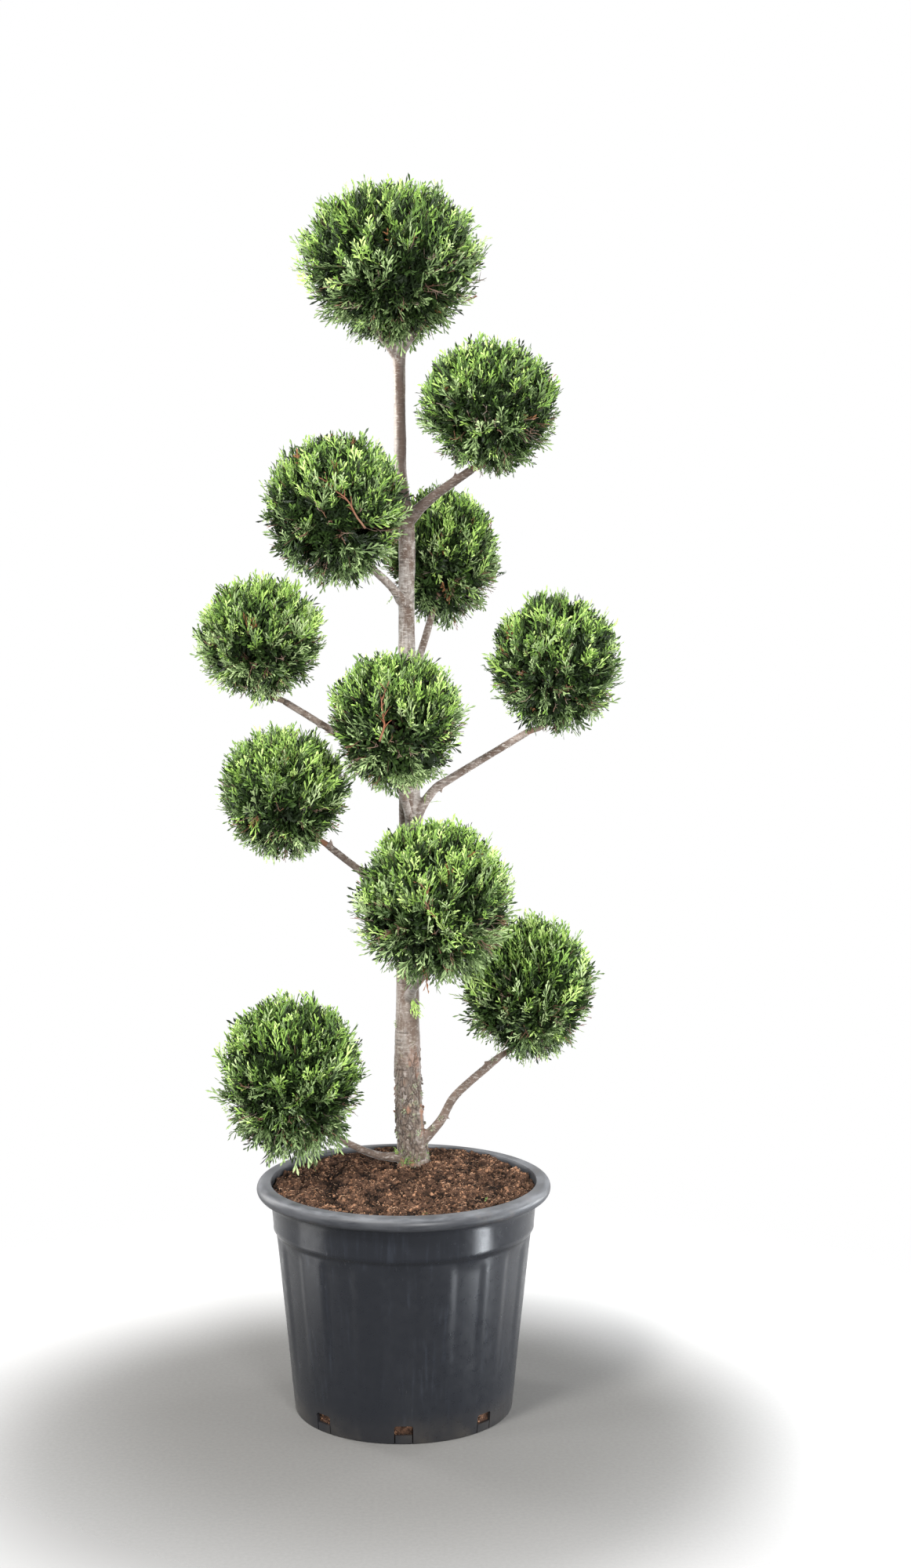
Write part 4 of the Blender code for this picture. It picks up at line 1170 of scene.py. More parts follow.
def plates(points, spoke, weight):
    """For each point of rough bark: how near it is to a fissure, its plate's lift there and its shade."""
    spots = spoke * (1.0, 1.0, 0.0) + PLATE_STRETCH * points[:, 2:] * UP
    warp = np.stack([noise_at(spots, 170.0, seed) for seed in (1.0, 11.0, 21.0)], -1)
    spots = spots / PLATE_WIDTH + 0.55 * warp
    gap, lift, shade = np.zeros(len(points)), np.zeros(len(points)), np.ones(len(points))
    for i in np.flatnonzero(weight > 0.01):
        distances, cells = noise.voronoi(Vector(spots[i]))
        gap[i] = 1.0 - min((distances[1] - distances[0]) / FISSURE_SHARE, 1.0)
        tilt = 2.0 * noise.cell_vector(7.0 * cells[0]) - Vector((1.0, 1.0, 1.0))
        lift[i] = (Vector(spots[i]) - cells[0]).dot(tilt) + 0.7 * noise.cell(9.0 * cells[0])
        shade[i] = noise.cell(13.0 * cells[0])
    return gap, lift, shade


def store(piece, **columns):
    """Keeps a value for each point of a piece, under a name that its material reads."""
    for name, values in columns.items():
        attribute = piece.data.attributes.new(name, "FLOAT", "POINT")
        values = np.broadcast_to(values, len(piece.data.vertices))
        attribute.data.foreach_set("value", np.ascontiguousarray(values, np.float32))


def make_tufts(name, tufts, finish, seed):
    """Lichen or moss: tiny curled leaves crowded on the bark at each given place."""
    rng = np.random.default_rng(seed)
    heap = Heap()
    for centre, out, size, count in tufts:
        side = unit(np.cross(out, UP + (0.01, 0.0, 0.0)))
        rise = np.cross(side, out)
        flat = rng.normal(0.0, 0.45 * size, (count, 2))
        roots = centre + flat[:, :1] * side + flat[:, 1:] * rise - 0.06 * size * out
        roots -= (0.5 * np.linalg.norm(flat, axis=1) ** 2 / 0.02)[:, None] * out
        aims = unit(out + 0.9 * rng.normal(size=(count, 3)))
        tips = roots + rng.uniform(0.002, 0.005, (count, 1)) * aims
        points, triangles, _ = kites(roots, tips, rng.uniform(0.0012, 0.0028, count), np.zeros(count), rng)
        heap.add(points, triangles)
    return heap.make(name, [finish])


def on_trunk(z, angle, size, leaves):
    """Place on the trunk's surface, way out, size and count of leaves."""
    centre, radius = trunk_at(z)
    out = around(1.0, math.radians(angle), 0.0)
    return centre + radius * out, out, size, leaves


def on_bough(number, share, size, leaves):
    """Place on the front of a bough, way out, size and count of leaves."""
    centre, radius = bough_point(number, share)
    out = unit((-0.2, -0.85, 0.5))
    return centre + radius * out, out, size, leaves


def on_soil(x, y):
    """A speck of moss on the medium: its place, way out, size and count of leaves."""
    return np.array((x, y, soil_height(np.array((x,)), np.array((y,)))[0])), UP, 0.0045, 12


def make_sprigs(kinds, finishes):
    """Small green sprigs that grow straight from the wood."""
    rng = np.random.default_rng(41)
    heap = Heap()
    for number, share, way, length, sprays in SPRIGS:
        root, radius = bough_point(number, share)
        for _ in range(sprays):
            aim = unit(unit(way) + 0.35 * rng.normal(size=3))
            points, triangles, shifts = kinds[rng.integers(len(kinds))]
            frame = unit_frames(aim[None], rng.normal(size=(1, 3)))[0]
            long = length * rng.uniform(0.7, 1.2)
            placed = root + 0.8 * radius * aim + (points * (long, 0.7 * long, long)) @ frame
            heap.add(placed, triangles, np.clip(np.round(SPRIG_TONE + shifts), 0, DRY_TONE - 1).astype(int))
    return heap.make("sprigs", finishes)


def make_flakes(finish):
    """Small plates of old bark that stand off the lower trunk at one edge."""
    rng = np.random.default_rng(33)
    heap = Heap()
    shades = []
    for _ in range(FLAKES):
        z = 0.350 + 0.140 * rng.uniform() + (0.08 * rng.uniform() if rng.uniform() < 0.10 else 0.0)
        angle = rng.uniform(0.0, math.tau)
        wide, tall = rng.uniform(0.0022, 0.0052), rng.uniform(0.0035, 0.0085)
        lift = rng.uniform(0.0006, 0.0030)
        lifted_side = rng.choice((-1.0, 1.0))
        lean = rng.uniform(-0.6, 0.6)
        corners = rng.integers(5, 8)
        outline = np.zeros((corners + 1, 2))
        for i in range(corners):
            turn = math.tau * i / corners + rng.uniform(-0.35, 0.35)
            corner = np.array((wide * math.cos(turn), tall * math.sin(turn)))
            outline[i + 1] = rng.uniform(0.32, 0.60) * corner
        outline[:, 0] += lean * outline[:, 1]
        centre, base = trunk_at(z + outline[:, 1])
        raised = base + lift * smoothstep(lifted_side * outline[:, 0], -0.2 * wide, 0.5 * wide)
        turned = angle + outline[:, 0] / base
        shells = [centre + around(raised + skin, turned, 0.0) for skin in (FLAKE_THICKNESS, 0.0)]
        count = corners + 1
        triangles = []
        for i in range(corners):
            a, b = 1 + i, 1 + (i + 1) % corners
            triangles += [(0, a, b), (count, count + b, count + a)]
            triangles += [(a, count + a, count + b), (a, count + b, b)]
        heap.add(np.concatenate(shells), triangles)
        shades += [rng.uniform(0.0, 0.9)] * (2 * count)
    flakes = heap.make("bark_flakes", [finish])
    store(flakes, plate=shades, fissure=0.10, brown=0.0)
    return flakes


# Clipped balls


def drawn_in(ball, offset, low):
    """Offsets from a ball's centre with the sides drawn in by how low they lie."""
    side = 1.0 - ball.narrow * low * low
    return offset * np.concatenate((side, side, np.ones_like(side)), -1)


def reach(ball, ways):
    """From a ball's centre to its clipped surface, along unit directions."""
    offset = ball.half * unit(ways)
    return drawn_in(ball, offset, np.minimum(offset[..., 2:] / ball.half[2], 0.0))


def share_of(ball, spots):
    """How far out points lie in a ball: 1 is on its clipped surface."""
    offset = (spots - np.array(ball.centre)) / ball.half
    low = np.clip(offset[..., 2:], -1.0, 0.0)
    return np.linalg.norm(offset / drawn_in(ball, np.ones_like(offset), low), axis=-1)


def mean_half(ball):
    return sum(ball.half) / 3.0


def way_length(ball, roots, aims, shares):
    """How far along each aim a point comes to its share of the ball's reach."""
    low, high = np.zeros(len(roots)), np.full(len(roots), 2.0 * max(ball.half))
    for _ in range(18):
        middle = 0.5 * (low + high)
        inside = share_of(ball, roots + middle[:, None] * aims) < shares
        low, high = np.where(inside, middle, low), np.where(inside, high, middle)
    return low


def is_free(ball, spots):
    """True where a point touches no limb, no other ball and no part of the pot."""
    over_pot = np.hypot(spots[:, 0], spots[:, 1]) < RIM_RADIUS + POT_CLEARANCE
    in_pot = over_pot & (spots[:, 2] < SEAT_Z + POT_CLEARANCE)
    free = ~in_pot & (nearest_limb(spots)[0] > LIMB_CLEARANCE)
    for other in BALLS:
        if other is not ball:
            free &= share_of(other, spots) > NEIGHBOUR_SHARE
    return free


def stands_free(ball, roots, tips):
    return is_free(ball, 0.5 * (roots + tips)) & is_free(ball, tips)


def moved_ways(count, rng):
    """Directions shared evenly over a sphere, each moved a little, drawn as the solids draw them."""
    ways = spiral_ways(count, rng.uniform(0.0, math.tau))
    shifts = [[rng.uniform(-1.0, 1.0) for _ in range(3)] for _ in range(count)]
    return unit(ways + DIRECTION_SHIFT * np.array(shifts))


def unit_frames(along, facing):
    """Rows of unit axes: along, across and facing, for each pair of vectors."""
    along = unit(along)
    across = unit(np.cross(facing, along))
    return np.stack((along, across, np.cross(along, across)), -2)


def columns(rows):
    return (np.array(column) for column in zip(*rows))


def spray_kind(rng):
    """One flat spray along +X, of unit length: points, triangles and how much lighter each is."""
    bend, sway = rng.uniform(-0.12, 0.16), rng.uniform(-0.07, 0.07)
    width = SHOOT_WIDTH / SPRAY_LENGTH
    shoots = []

    def axis(t):
        return np.array((t, sway * math.sin(math.pi * t), bend * t * t))

    def side_shoot(root, way, length, width, shift):
        shoots.append((root, root + length * way, width, shift + rng.normal(0.0, SHOOT_TONE_SPREAD)))

    for start, end in ((0.0, 0.45), (0.30, 0.74), (0.60, 1.0)):
        shoots.append((axis(start), axis(end), 0.85 * width, 2.2 * end - 1.25))
    for i in range(SIDE_SHOOTS):
        t = 0.10 + 0.80 * (i + rng.uniform(-0.25, 0.25)) / (SIDE_SHOOTS - 1)
        side = -1.0 if i % 2 else 1.0
        length = SIDE_SHARE * min(1.0, 0.60 + 2.0 * t) * (1.0 - 0.45 * t) * rng.uniform(0.75, 1.25)
        length = min(length, SHOOT_END_SHARE - t)
        angle = side * (0.52 - 0.20 * t + rng.uniform(-0.12, 0.12))
        rise = rng.uniform(-0.20, 0.20)
        root, shift = axis(t), 2.2 * t - 1.15
        way = np.array((math.cos(angle), math.sin(angle), rise))
        side_shoot(root, way, length, width, shift + 0.25)
        if t < 0.42:
            for at, turn in ((0.30, 0.46), (0.52, -0.42)):
                own = np.array((math.cos(angle + side * turn), math.sin(angle + side * turn), rise))
                side_shoot(root + at * length * way, own, 0.48 * length, 0.9 * width, shift + 0.35)
    return kites(*columns(shoots), rng)


def inner_kind(rng):
    """A plainer spray of a few broad shoots, for the shaded inside of a ball."""
    shoots = [((0.0, 0.0, 0.0), (1.0, 0.0, rng.uniform(-0.1, 0.1)), 0.18, 0.0)]
    for t, side in ((0.15, 1.0), (0.30, -1.0), (0.45, 1.0), (0.62, -1.0)):
        angle = side * rng.uniform(0.55, 0.85)
        length = 0.55 * (1.0 - 0.45 * t)
        tip = (t + length * math.cos(angle), length * math.sin(angle), rng.uniform(-0.12, 0.12))
        shoots.append(((t, 0.0, 0.0), tip, 0.20, 0.0))
    return kites(*columns(shoots), rng)


def kites(roots, tips, widths, shifts, rng):
    """Folded kites of two triangles, one for each shoot, widest past the middle."""
    along = unit(tips - roots)
    roll = rng.uniform(-0.5, 0.5, len(roots))
    flat = unit(np.cross(UP, along)) * np.cos(roll)[:, None] + UP * np.sin(roll)[:, None]
    widest = roots + SHOOT_WIDEST * (tips - roots) - SHOOT_FOLD * widths[:, None] * np.cross(along, flat)
    half = 0.5 * widths[:, None] * flat
    points = np.stack((roots, widest - half, tips, widest + half), 1)
    index = 4 * np.arange(len(roots))[:, None]
    triangles = np.stack((index + (0, 1, 2), index + (0, 2, 3)), 1)
    return points.reshape(-1, 3), triangles.reshape(-1, 3), np.repeat(shifts, 2)


def grow_branchlets(ball, rng, second_ends, second_ways):
    """Bent paths from the second twigs' ends to the surface: long in the tufts, short in the hollows."""
    ways = spiral_ways(round(BRANCHLETS_PER_METRE * mean_half(ball)), ball.number)
    ways = unit(ways + rng.uniform(-0.10, 0.10, ways.shape))
    if ball.number in BOUGHS:
        share = np.interp(ways[:, 2], (-0.75, -0.30), (FRINGE_SHARE, 1.0))
        ways = ways[rng.uniform(size=len(ways)) < share]
    hollow = noise_at(ways, TUFT_SCALE, 7.0 * ball.number) < TUFT_GAP
    starts = second_ends[np.argmax(ways @ second_ways.T, axis=1)]
    lift = BRANCHLET_LIFT * smoothstep(ways[:, 2:], -1.0, 0.1)
    aims = unit(ways + lift * UP + BRANCHLET_SWAY * rng.uniform(-1.0, 1.0, ways.shape))
    hubs = ball.centre + 0.62 * reach(ball, ways)
    shares = np.where(hollow, rng.uniform(*HOLLOW_SHARE, len(ways)), rng.uniform(*BRANCHLET_SHARE, len(ways)))
    ends = hubs + way_length(ball, hubs, aims, shares)[:, None] * aims
    t = np.linspace(0.0, 1.0, BRANCHLET_STEPS + 1)[:, None]
    paths = (1 - t) ** 2 * starts[:, None] + 2 * t * (1 - t) * hubs[:, None] + t**2 * ends[:, None]
    return ways, paths, hollow


def path_at(paths, t):
    """Place and direction on each path at its own t from 0 to 1."""
    steps = paths.shape[1] - 1
    span = np.minimum((t * steps).astype(int), steps - 1)
    rows = np.arange(len(paths))
    start, end = paths[rows, span], paths[rows, span + 1]
    return start + (t * steps - span)[:, None] * (end - start), unit(end - start)


def grow_sprays(ball, rng, ways, paths, hollow):
    """Root, axes, length, tone with its painted shade and light, and whether it is in the underside's painted
    shade, for each spray on the branchlets that keeps to its own space.
    """
    facing = unit(np.cross(rng.normal(size=ways.shape), paths[:, -1] - paths[:, 0]))
    own_tone = ball.shade + rng.normal(0.0, 0.35, len(ways))
    rows = []
    for k in range(SPRAYS_PER_BRANCHLET + 1):
        last = k == SPRAYS_PER_BRANCHLET
        t = 0.24 + 0.72 * (k + rng.uniform(0.0, 0.8, len(ways))) / SPRAYS_PER_BRANCHLET
        t = np.full(len(ways), 0.97) if last else t
        root, tangent = path_at(paths, t)
        side = np.cross(facing, tangent) * (-1.0 if k % 2 else 1.0)
        angle = 0.0 if last else SPRAY_ANGLE + rng.uniform(-0.2, 0.2, (len(ways), 1))
        lift = SPRAY_LIFT * smoothstep(ways[:, 2:], -1.0, -0.1) * rng.uniform(0.4, 1.2, (len(ways), 1))
        aim = np.cos(angle) * tangent + np.sin(angle) * side + lift * UP
        aim = unit(aim + SPRAY_SWAY * rng.uniform(-1.0, 1.0, ways.shape))
        normal = unit(facing + 0.7 * ways + 0.45 * rng.normal(size=ways.shape))
        length = SPRAY_LENGTH * rng.uniform(0.65, 1.25, len(ways)) * (1.12 - 0.30 * t)
        rows.append((root, aim, normal, length, ways, hollow, own_tone))
    roots, aims, normals, lengths, outward, in_hollow, tone = map(np.concatenate, zip(*rows))
    count = len(roots)
    lumps = 1.0 + SURFACE_LUMP * noise_at(outward, 3.1, 3.0 * ball.number)
    limit = rng.uniform(*SPRAY_REACH, count) * lumps
    limit = np.where(in_hollow, HOLLOW_REACH * limit, limit)
    limit = np.where(rng.uniform(size=count) < WISP_SHARE, WISP_REACH, np.minimum(limit, WISP_REACH))
    lengths = np.minimum(lengths, way_length(ball, roots, aims, limit))
    tips = roots + lengths[:, None] * aims
    # Painted shade and light in the tone: darker the deeper a spray lies, in the hollows and at tips past the
    # surface, darker towards the ball's top, lighter when aimed upwards, with random tone on top
    tone = tone - 0.60 + 4.10 * smoothstep(share_of(ball, 0.4 * roots + 0.6 * tips), 0.66, 1.00)
    tone = tone - 0.20 * outward[:, 2] + 0.15 * aims[:, 2] - 0.8 * in_hollow
    tone = tone + rng.normal(0.0, 1.10, count) - 1.1 * smoothstep(share_of(ball, tips), 0.96, 1.05)
    tone = np.where(rng.uniform(size=count) < DRY_SHARE, np.inf, tone)
    # The lower a branchlet faces, the more of its sprays take the underside's painted shade
    in_underside_shade = rng.uniform(size=count) < np.interp(outward[:, 2], (-0.75, 0.35), UNDERSIDE_SHADE_SHARE)
    keep = (lengths > SPRAY_LEAST) & stands_free(ball, roots, tips)
    return [values[keep] for values in (roots, aims, normals, lengths, tone, in_underside_shade)]


def grow_inner_sprays(ball, rng, paths):
    """The same for the sprays inside the ball on the second twigs, in the darkest tones as painted shade."""
    count = round(INNER_SPRAYS_PER_AREA * mean_half(ball) ** 2)
    roots, tangent = path_at(paths[rng.integers(0, len(paths), count)], rng.uniform(0.15, 1.0, count))
    aims = unit(tangent + 1.1 * rng.uniform(-1.0, 1.0, tangent.shape) + 0.25 * UP)
    lengths = INNER_LENGTH * rng.uniform(0.7, 1.3, count)
    lengths = np.minimum(lengths, way_length(ball, roots, aims, INNER_REACH))
    tones = rng.uniform(*INNER_TONES, count)
    normals = unit(rng.normal(size=aims.shape))
    keep = (lengths > SPRAY_LEAST) & stands_free(ball, roots, roots + lengths[:, None] * aims)
    return [values[keep] for values in (roots, aims, normals, lengths, tones, np.full(count, False))]


def grow_skirt(ball, rng):
    """The same for sprays that hang round the limb at the ball's underside, all in the underside's painted
    shade.
    """
    count = ball.skirt
    ways = on_sphere(rng.uniform(-1.0, SKIRT_TOP, count), rng.uniform(0.0, math.tau, count))
    roots = ball.centre + rng.uniform(0.66, 0.84, (count, 1)) * reach(ball, ways)
    aims = unit(ways + 0.45 * rng.uniform(-1.0, 1.0, ways.shape))
    lengths = SPRAY_LENGTH * rng.uniform(0.75, 1.25, count)
    lengths = np.minimum(lengths, way_length(ball, roots, aims, rng.uniform(0.94, ball.skirt_reach, count)))
    normals = unit(ways + 0.8 * rng.normal(size=ways.shape))
    tones = rng.uniform(*SKIRT_TONES, count)
    keep = (lengths > SPRAY_LEAST) & stands_free(ball, roots, roots + lengths[:, None] * aims)
    return [values[keep] for values in (roots, aims, normals, lengths, tones, np.full(count, True))]


def place_sprays(heap, kinds, rng, roots, aims, normals, lengths, tones, in_underside_shade, full_length):
    """Adds one spray of a random kind at each root, each of its triangles in its tone's slot."""
    frames = unit_frames(aims, normals)
    picked = rng.integers(0, len(kinds), len(roots))
    breadth = 0.5 * (lengths + full_length)
    scales = np.stack((lengths, breadth, breadth), -1)[:, None]
    for kind, (points, triangles, shifts) in enumerate(kinds):
        chosen = np.flatnonzero(picked == kind)
        placed = roots[chosen, None] + np.einsum("nij,njk->nik", points * scales[chosen], frames[chosen])
        index = triangles + len(points) * np.arange(len(chosen))[:, None, None]
        tone = tones[chosen, None] + shifts
        slots = np.full(tone.shape, DRY_TONE)
        green = np.isfinite(tone)
        slots[green] = np.clip(np.round(tone[green]), 0, BRIGHTEST_TONE)
        # Sprays in the underside's painted shade take the greyer copies of the outer four tones
        slots[green & in_underside_shade[chosen, None] & (slots >= FIRST_UNDERSIDE_SHADE_TONE - UNDERSIDE_SHADE_TONES)] += UNDERSIDE_SHADE_TONES
        heap.add(placed, index, slots.ravel())


def limb_end(number):
    """Tip, direction and radius of the limb that carries this ball."""
    if number in BOUGHS:
        line = np.array(BOUGHS[number].line)
        return line[-1], unit(line[-1] - line[-2]), BOUGHS[number].tip_radius
    return list(fork_arms())[-1]


def bent(roots, ends, rise, steps=3):
    """Paths from roots to ends that bow upwards a little."""
    t = np.linspace(0.0, 1.0, steps + 1)[:, None]
    length = np.linalg.norm(ends - roots, axis=1)[:, None, None]
    return roots[:, None] + t * (ends - roots)[:, None] + (4.0 * t * (1.0 - t)) * rise * length * UP


def make_ball(ball, kinds, inner_kinds, leaf_finishes, twig_finishes):
    """One clipped ball: its twigs, and the sprays on them, each kind joined into one piece."""
    same = random.Random(ball.number)
    rng = np.random.default_rng(ball.number)
    centre = np.array(ball.centre)
    limb_tip, way, radius = limb_end(ball.number)
    twigs = Heap()
    bend = limb_tip + STEM_BEND_SHARE * np.linalg.norm(centre - limb_tip) * way
    stem = smooth_line((limb_tip - 0.010 * way, limb_tip, bend, centre), 12)
    twigs.add_tubes(stem[None], 0.96 * radius, 0.5 * radius, 8)
    if ball.number not in BOUGHS:
        for tip, arm_way, arm_radius in list(fork_arms())[:-1]:
            end = centre + 0.5 * (tip + 0.10 * arm_way - centre) + 0.02 * UP
            arm = smooth_line((tip, tip + 0.03 * arm_way, end), 8)
            twigs.add_tubes(arm[None], arm_radius, 0.4 * arm_radius, 8)

    stem_fork = centre + STEM_FORK_SHARE * (limb_tip - centre)
    first_ways = moved_ways(FIRST_TWIGS, same)
    first_ends = centre + FIRST_TWIG_SHARE * reach(ball, first_ways)
    first_roots = np.tile(stem_fork, (FIRST_TWIGS, 1))
    twigs.add_tubes(bent(first_roots, first_ends, 0.03), FORK_TWIG_RADIUS, TWIG_RADIUS, 6)
    second_ways = moved_ways(round(SECOND_TWIGS_PER_METRE * mean_half(ball)), same)
    nearest = first_ways[np.argmax(second_ways @ first_ways.T, axis=1)]
    forks = centre + SECOND_FORK_SHARE * reach(ball, nearest)
    second_ends = centre + SPRAY_ROOT_SHARE * reach(ball, second_ways)
    second_paths = bent(forks, second_ends, 0.05)
    twigs.add_tubes(second_paths, TWIG_RADIUS, TWIG_TIP_RADIUS, 5)
    ways, paths, hollow = grow_branchlets(ball, rng, second_ends, second_ways)
    # Branchlets take the dark green twig colour, a painted shade inside the ball
    twigs.add_tubes(paths, BRANCHLET_RADIUS, BRANCHLET_TIP_RADIUS, 4, 1)
    add_bare_twigs(ball, rng, twigs)
    for owner, start, end in FACE_TWIGS:
        if owner == ball.number:
            add_face_twig(rng, twigs, np.array(start), np.array(end))
    twig_piece = twigs.make(f"twigs_{ball.number:02d}", twig_finishes, smooth=True)

    sprays = Heap()
    place_sprays(sprays, kinds, rng, *grow_sprays(ball, rng, ways, paths, hollow), SPRAY_LENGTH)
    place_sprays(sprays, kinds, rng, *grow_skirt(ball, rng), SPRAY_LENGTH)
    inner = grow_inner_sprays(ball, rng, np.concatenate((second_paths, paths[:, :4])))
    place_sprays(sprays, inner_kinds, rng, *inner, INNER_LENGTH)
    return twig_piece, sprays.make(f"sprays_{ball.number:02d}", leaf_finishes)


def add_face_twig(rng, twigs, start, end):
    """A brown twig on the face of a ball, crooked, with a few short side twigs."""
    t = np.linspace(0.0, 1.0, 12)[:, None]
    corners = start + np.linspace(0.0, 1.0, 5)[:, None] * (end - start)
    corners[1:-1] += rng.normal(0.0, 0.0042, (3, 3)) * (1.0, 0.3, 0.4)
    path = smooth_line(corners, 11) + rng.normal(0.0, 0.0006, (12, 3)) * np.sin(math.pi * t)
    twigs.add_tubes(path[None], 0.0008, 0.0017, 6, 2)
    roots = path[2:10]
    sides = np.resize((-0.8, 0.8), len(roots))[:, None] * (1.0, 0.0, 0.0)
    aims = unit(start - end) + sides * rng.uniform(0.5, 1.2, (len(roots), 1))
    aims = unit(aims + 0.2 * rng.normal(size=roots.shape))
    tips = roots + rng.uniform(0.009, 0.024, (len(roots), 1)) * aims
    twigs.add_tubes(bent(roots, tips, 0.10), 0.0009, 0.0005, 4, 2)


def add_bare_twigs(ball, rng, twigs):
    """Fine bare twigs, with short side twigs, that show at the underside."""
    count = round(BARE_TWIGS_PER_METRE * mean_half(ball))
    ways = unit(rng.normal(size=(count, 3)) * (1.0, 1.0, 0.45) - (0.0, 0.0, 0.75))
    roots = ball.centre + 0.55 * reach(ball, ways)
    aims = unit(ways + 0.35 * rng.uniform(-1.0, 1.0, ways.shape) + 0.15 * UP)
    lengths = way_length(ball, roots, aims, rng.uniform(0.94, 1.03, count))
    ends = roots + lengths[:, None] * aims
    free = stands_free(ball, roots, ends)
    paths = bent(roots[free], ends[free], -0.06, 4)
    paths[:, 1:-1] += rng.normal(0.0, 0.0012, paths[:, 1:-1].shape)
    twigs.add_tubes(paths, 0.0012, 0.0005, 3)
    for share in (0.45, 0.65, 0.85):
        start, along = path_at(paths, np.full(len(paths), share))
        aim = unit(along + 0.9 * rng.uniform(-1.0, 1.0, along.shape))
        tips = start + rng.uniform(0.006, 0.016, (len(start), 1)) * aim
        free = (share_of(ball, tips) < 1.05) & is_free(ball, tips)
        twigs.add_tubes(bent(start[free], tips[free], 0.04, 2), 0.0006, 0.0003, 3)


# Stage


def make_camera():
    data = bpy.data.cameras.new("camera")
    data.sensor_fit = "VERTICAL"
    data.sensor_width = SENSOR_MM
    data.sensor_height = SENSOR_MM
    data.lens = SENSOR_MM * FOCAL_PX / FRAME_HEIGHT_PX
    data.shift_y = -(0.5 * FRAME_HEIGHT_PX - AXIS_Y_PX) / FRAME_HEIGHT_PX
    camera = new_object("camera", data)
    camera.location = CAMERA_PLACE
    camera.rotation_euler = (0.5 * math.pi - CAMERA_DOWN, 0.0, -CAMERA_RIGHT)
    bpy.context.scene.camera = camera


def add_area(name, place, target, size, power, colour):
    data = bpy.data.lights.new(name, "AREA")
    data.shape = "RECTANGLE"
    data.size, data.size_y = size
    data.energy = power
    data.color = colour
    light = new_object(name, data)
    light.location = place
    light.rotation_euler = (Vector(target) - Vector(place)).to_track_quat("-Z", "Y").to_euler()
    light.visible_camera = False


def make_floor():
    """A round pale floor, darker near the pot as a painted shadow, that runs out into the white surround."""
    bm = bmesh.new()
    bmesh.ops.create_circle(bm, cap_ends=True, radius=FLOOR_RADIUS, segments=96)
    mesh = bpy.data.meshes.new("floor")
    bm.to_mesh(mesh)
    bm.free()
    made = Finish("floor", (0.70, 0.70, 0.69), 0.85, 0.2)
    away = made.add("VectorMath", {0: made.own()}, operation="LENGTH").outputs["Value"]
    places = {0: made.own(), 1: FLOOR_SHADOW_PLACE}
    from_shadow = made.add("VectorMath", places, operation="DISTANCE").outputs["Value"]
    # Painted shadow: dark round a place by the pot's front left, paling further out
    made.colour = made.mixed(made.noise(180.0, 3.0), *FLOOR_SHADOW)
    made.layer(made.remap(from_shadow, *FLOOR_PALE_RADII), FLOOR_PALE)
    clear = made.add("BsdfTransparent").outputs[0]
    fade = made.remap(away, *FLOOR_FADE_RADII)
    both = made.add("MixShader", {0: fade, 1: made.shader.outputs[0], 2: clear}).outputs[0]
    made.feed(made.tree.nodes["Material Output"].inputs["Surface"], both)
    mesh.materials.append(made.material)
    floor = new_object("floor", mesh)


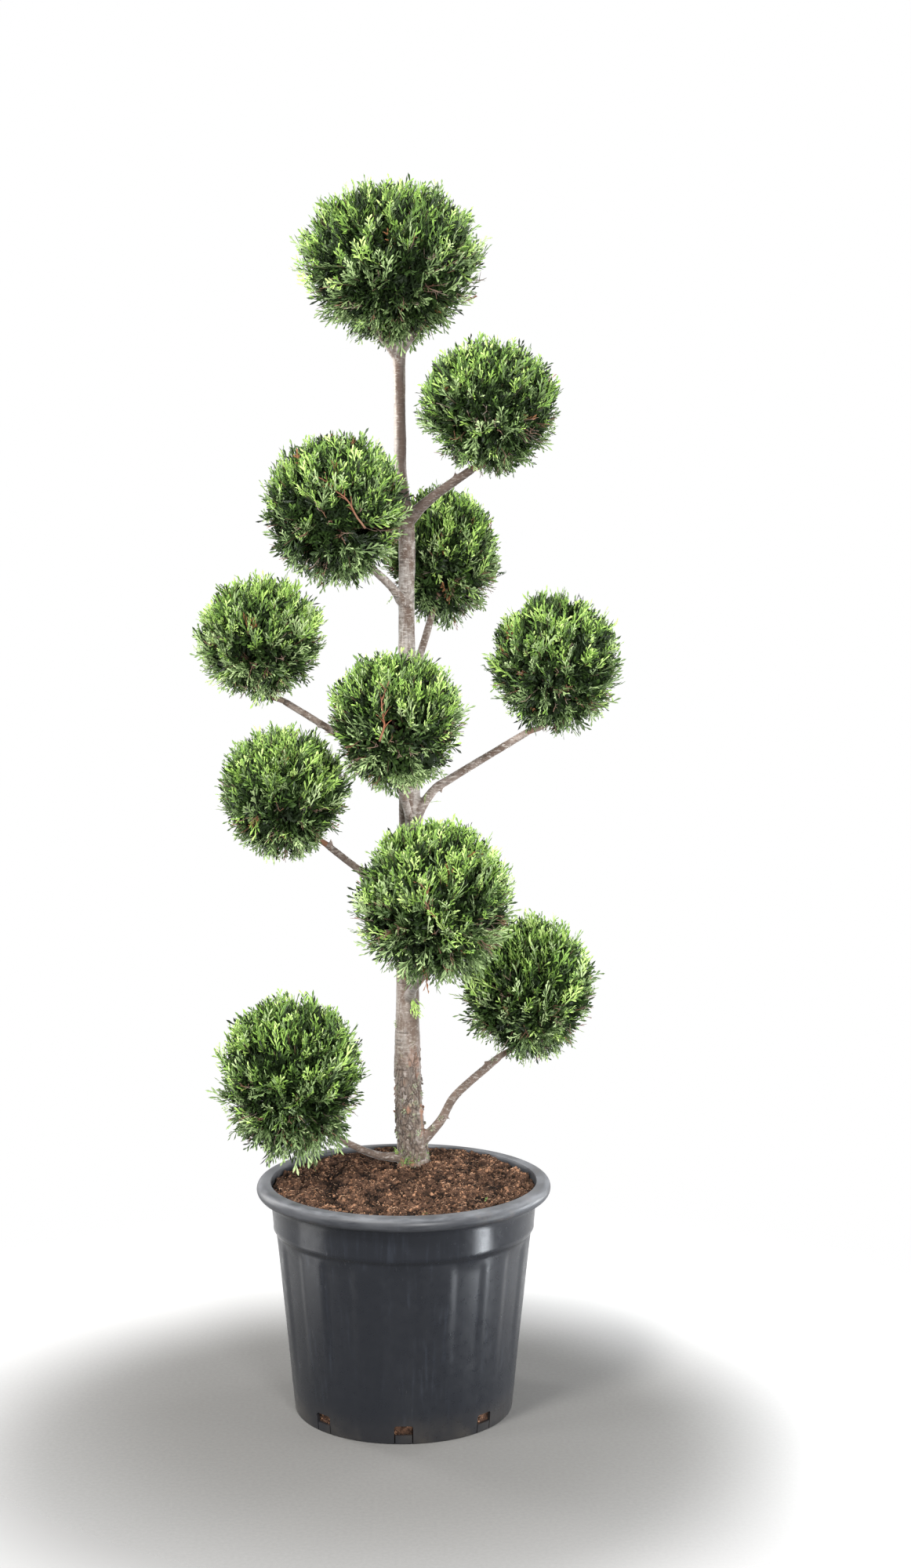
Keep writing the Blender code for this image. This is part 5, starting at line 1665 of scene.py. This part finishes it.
def make_surround():
    """White to the camera. As light it is bright behind, above and at the sides, and dimmer in front."""
    world = bpy.data.worlds.new("surround")
    bpy.context.scene.world = world
    world.use_nodes = True
    made = Shading(world.node_tree)
    way = made.add("TexCoord").outputs["Generated"]
    parts = made.add("SeparateXYZ", {0: way}).outputs
    behind = made.remap(parts["Y"], -0.4, 0.9, *SURROUND_LIGHT)
    above = made.remap(parts["Z"], 0.1, 1.0, 0.0, SURROUND_TOP)
    ground = made.tree.nodes["Background"]
    made.feed(ground.inputs["Color"], WHITE)
    made.feed(ground.inputs["Strength"], made.math("ADD", behind, above))
    backdrop = made.add("Background", {"Color": WHITE, "Strength": 1.0})
    seen = made.add("LightPath").outputs["Is Camera Ray"]
    both = made.add("MixShader", {0: seen, 1: ground.outputs[0], 2: backdrop.outputs[0]}).outputs[0]
    made.feed(made.tree.nodes["World Output"].inputs["Surface"], both)
    bpy.context.scene.view_settings.view_transform = "Standard"


def dress(piece, slot, *nodes):
    """Puts a finished piece on the plant's one body, in the place of the solids it stands for."""
    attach(piece, "root")
    if nodes:
        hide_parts(*nodes)


def main():
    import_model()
    make_camera()
    make_floor()
    make_surround()
    for name, light in LIGHTS.items():
        add_area(name, *light)

    dress(make_pot(plastic_material()), "pot_plastic", "pot")
    peats = [soil_material(name, *browns) for name, browns in PEATS.items()]
    dark_peat, brown_peat, russet_peat, coir = peats
    dress(make_soil(brown_peat), "growing_medium", "soil")
    dress(make_crumbs([dark_peat, brown_peat, brown_peat, russet_peat]), "growing_medium")
    dress(make_fibres([dark_peat, brown_peat, brown_peat, russet_peat, coir]), "growing_medium")

    bark = bark_material()
    limbs = ["trunk"] + [f"bough_{number:02d}" for number in BOUGHS]
    dress(make_wood(bark), "bark", *limbs)
    dress(make_sleeve(bark), "bark")
    dress(make_flakes(bark), "bark")
    lichens = [on_trunk(*tuft) for tuft in LICHENS] + [on_bough(*tuft) for tuft in BOUGH_LICHENS]
    dress(make_tufts("lichen", lichens, leaf_material("lichen", LICHEN_COLOUR), 51), "bark")
    mosses = [on_trunk(*tuft) for tuft in MOSSES] + [on_soil(*place) for place in SOIL_SPECKS]
    dress(make_tufts("moss", mosses, leaf_material("moss", MOSS_COLOUR), 52), "bark")

    leaf_finishes = [leaf_material("leaf_" + name, colour) for name, colour in LEAF_TONES.items()]
    twig_finishes = [twig_material(name, *colours) for name, colours in TWIG_COLOURS.items()]
    kind_rng = np.random.default_rng(5)
    kinds = [spray_kind(kind_rng) for _ in range(SPRAY_KINDS)]
    inner_kinds = [inner_kind(kind_rng) for _ in range(SPRAY_KINDS)]
    dress(make_sprigs(kinds, leaf_finishes), "foliage")
    for ball in BALLS:
        twigs, sprays = make_ball(ball, kinds, inner_kinds, leaf_finishes, twig_finishes)
        dress(twigs, "bark")
        dress(sprays, "foliage", f"foliage_{ball.number:02d}")


main()
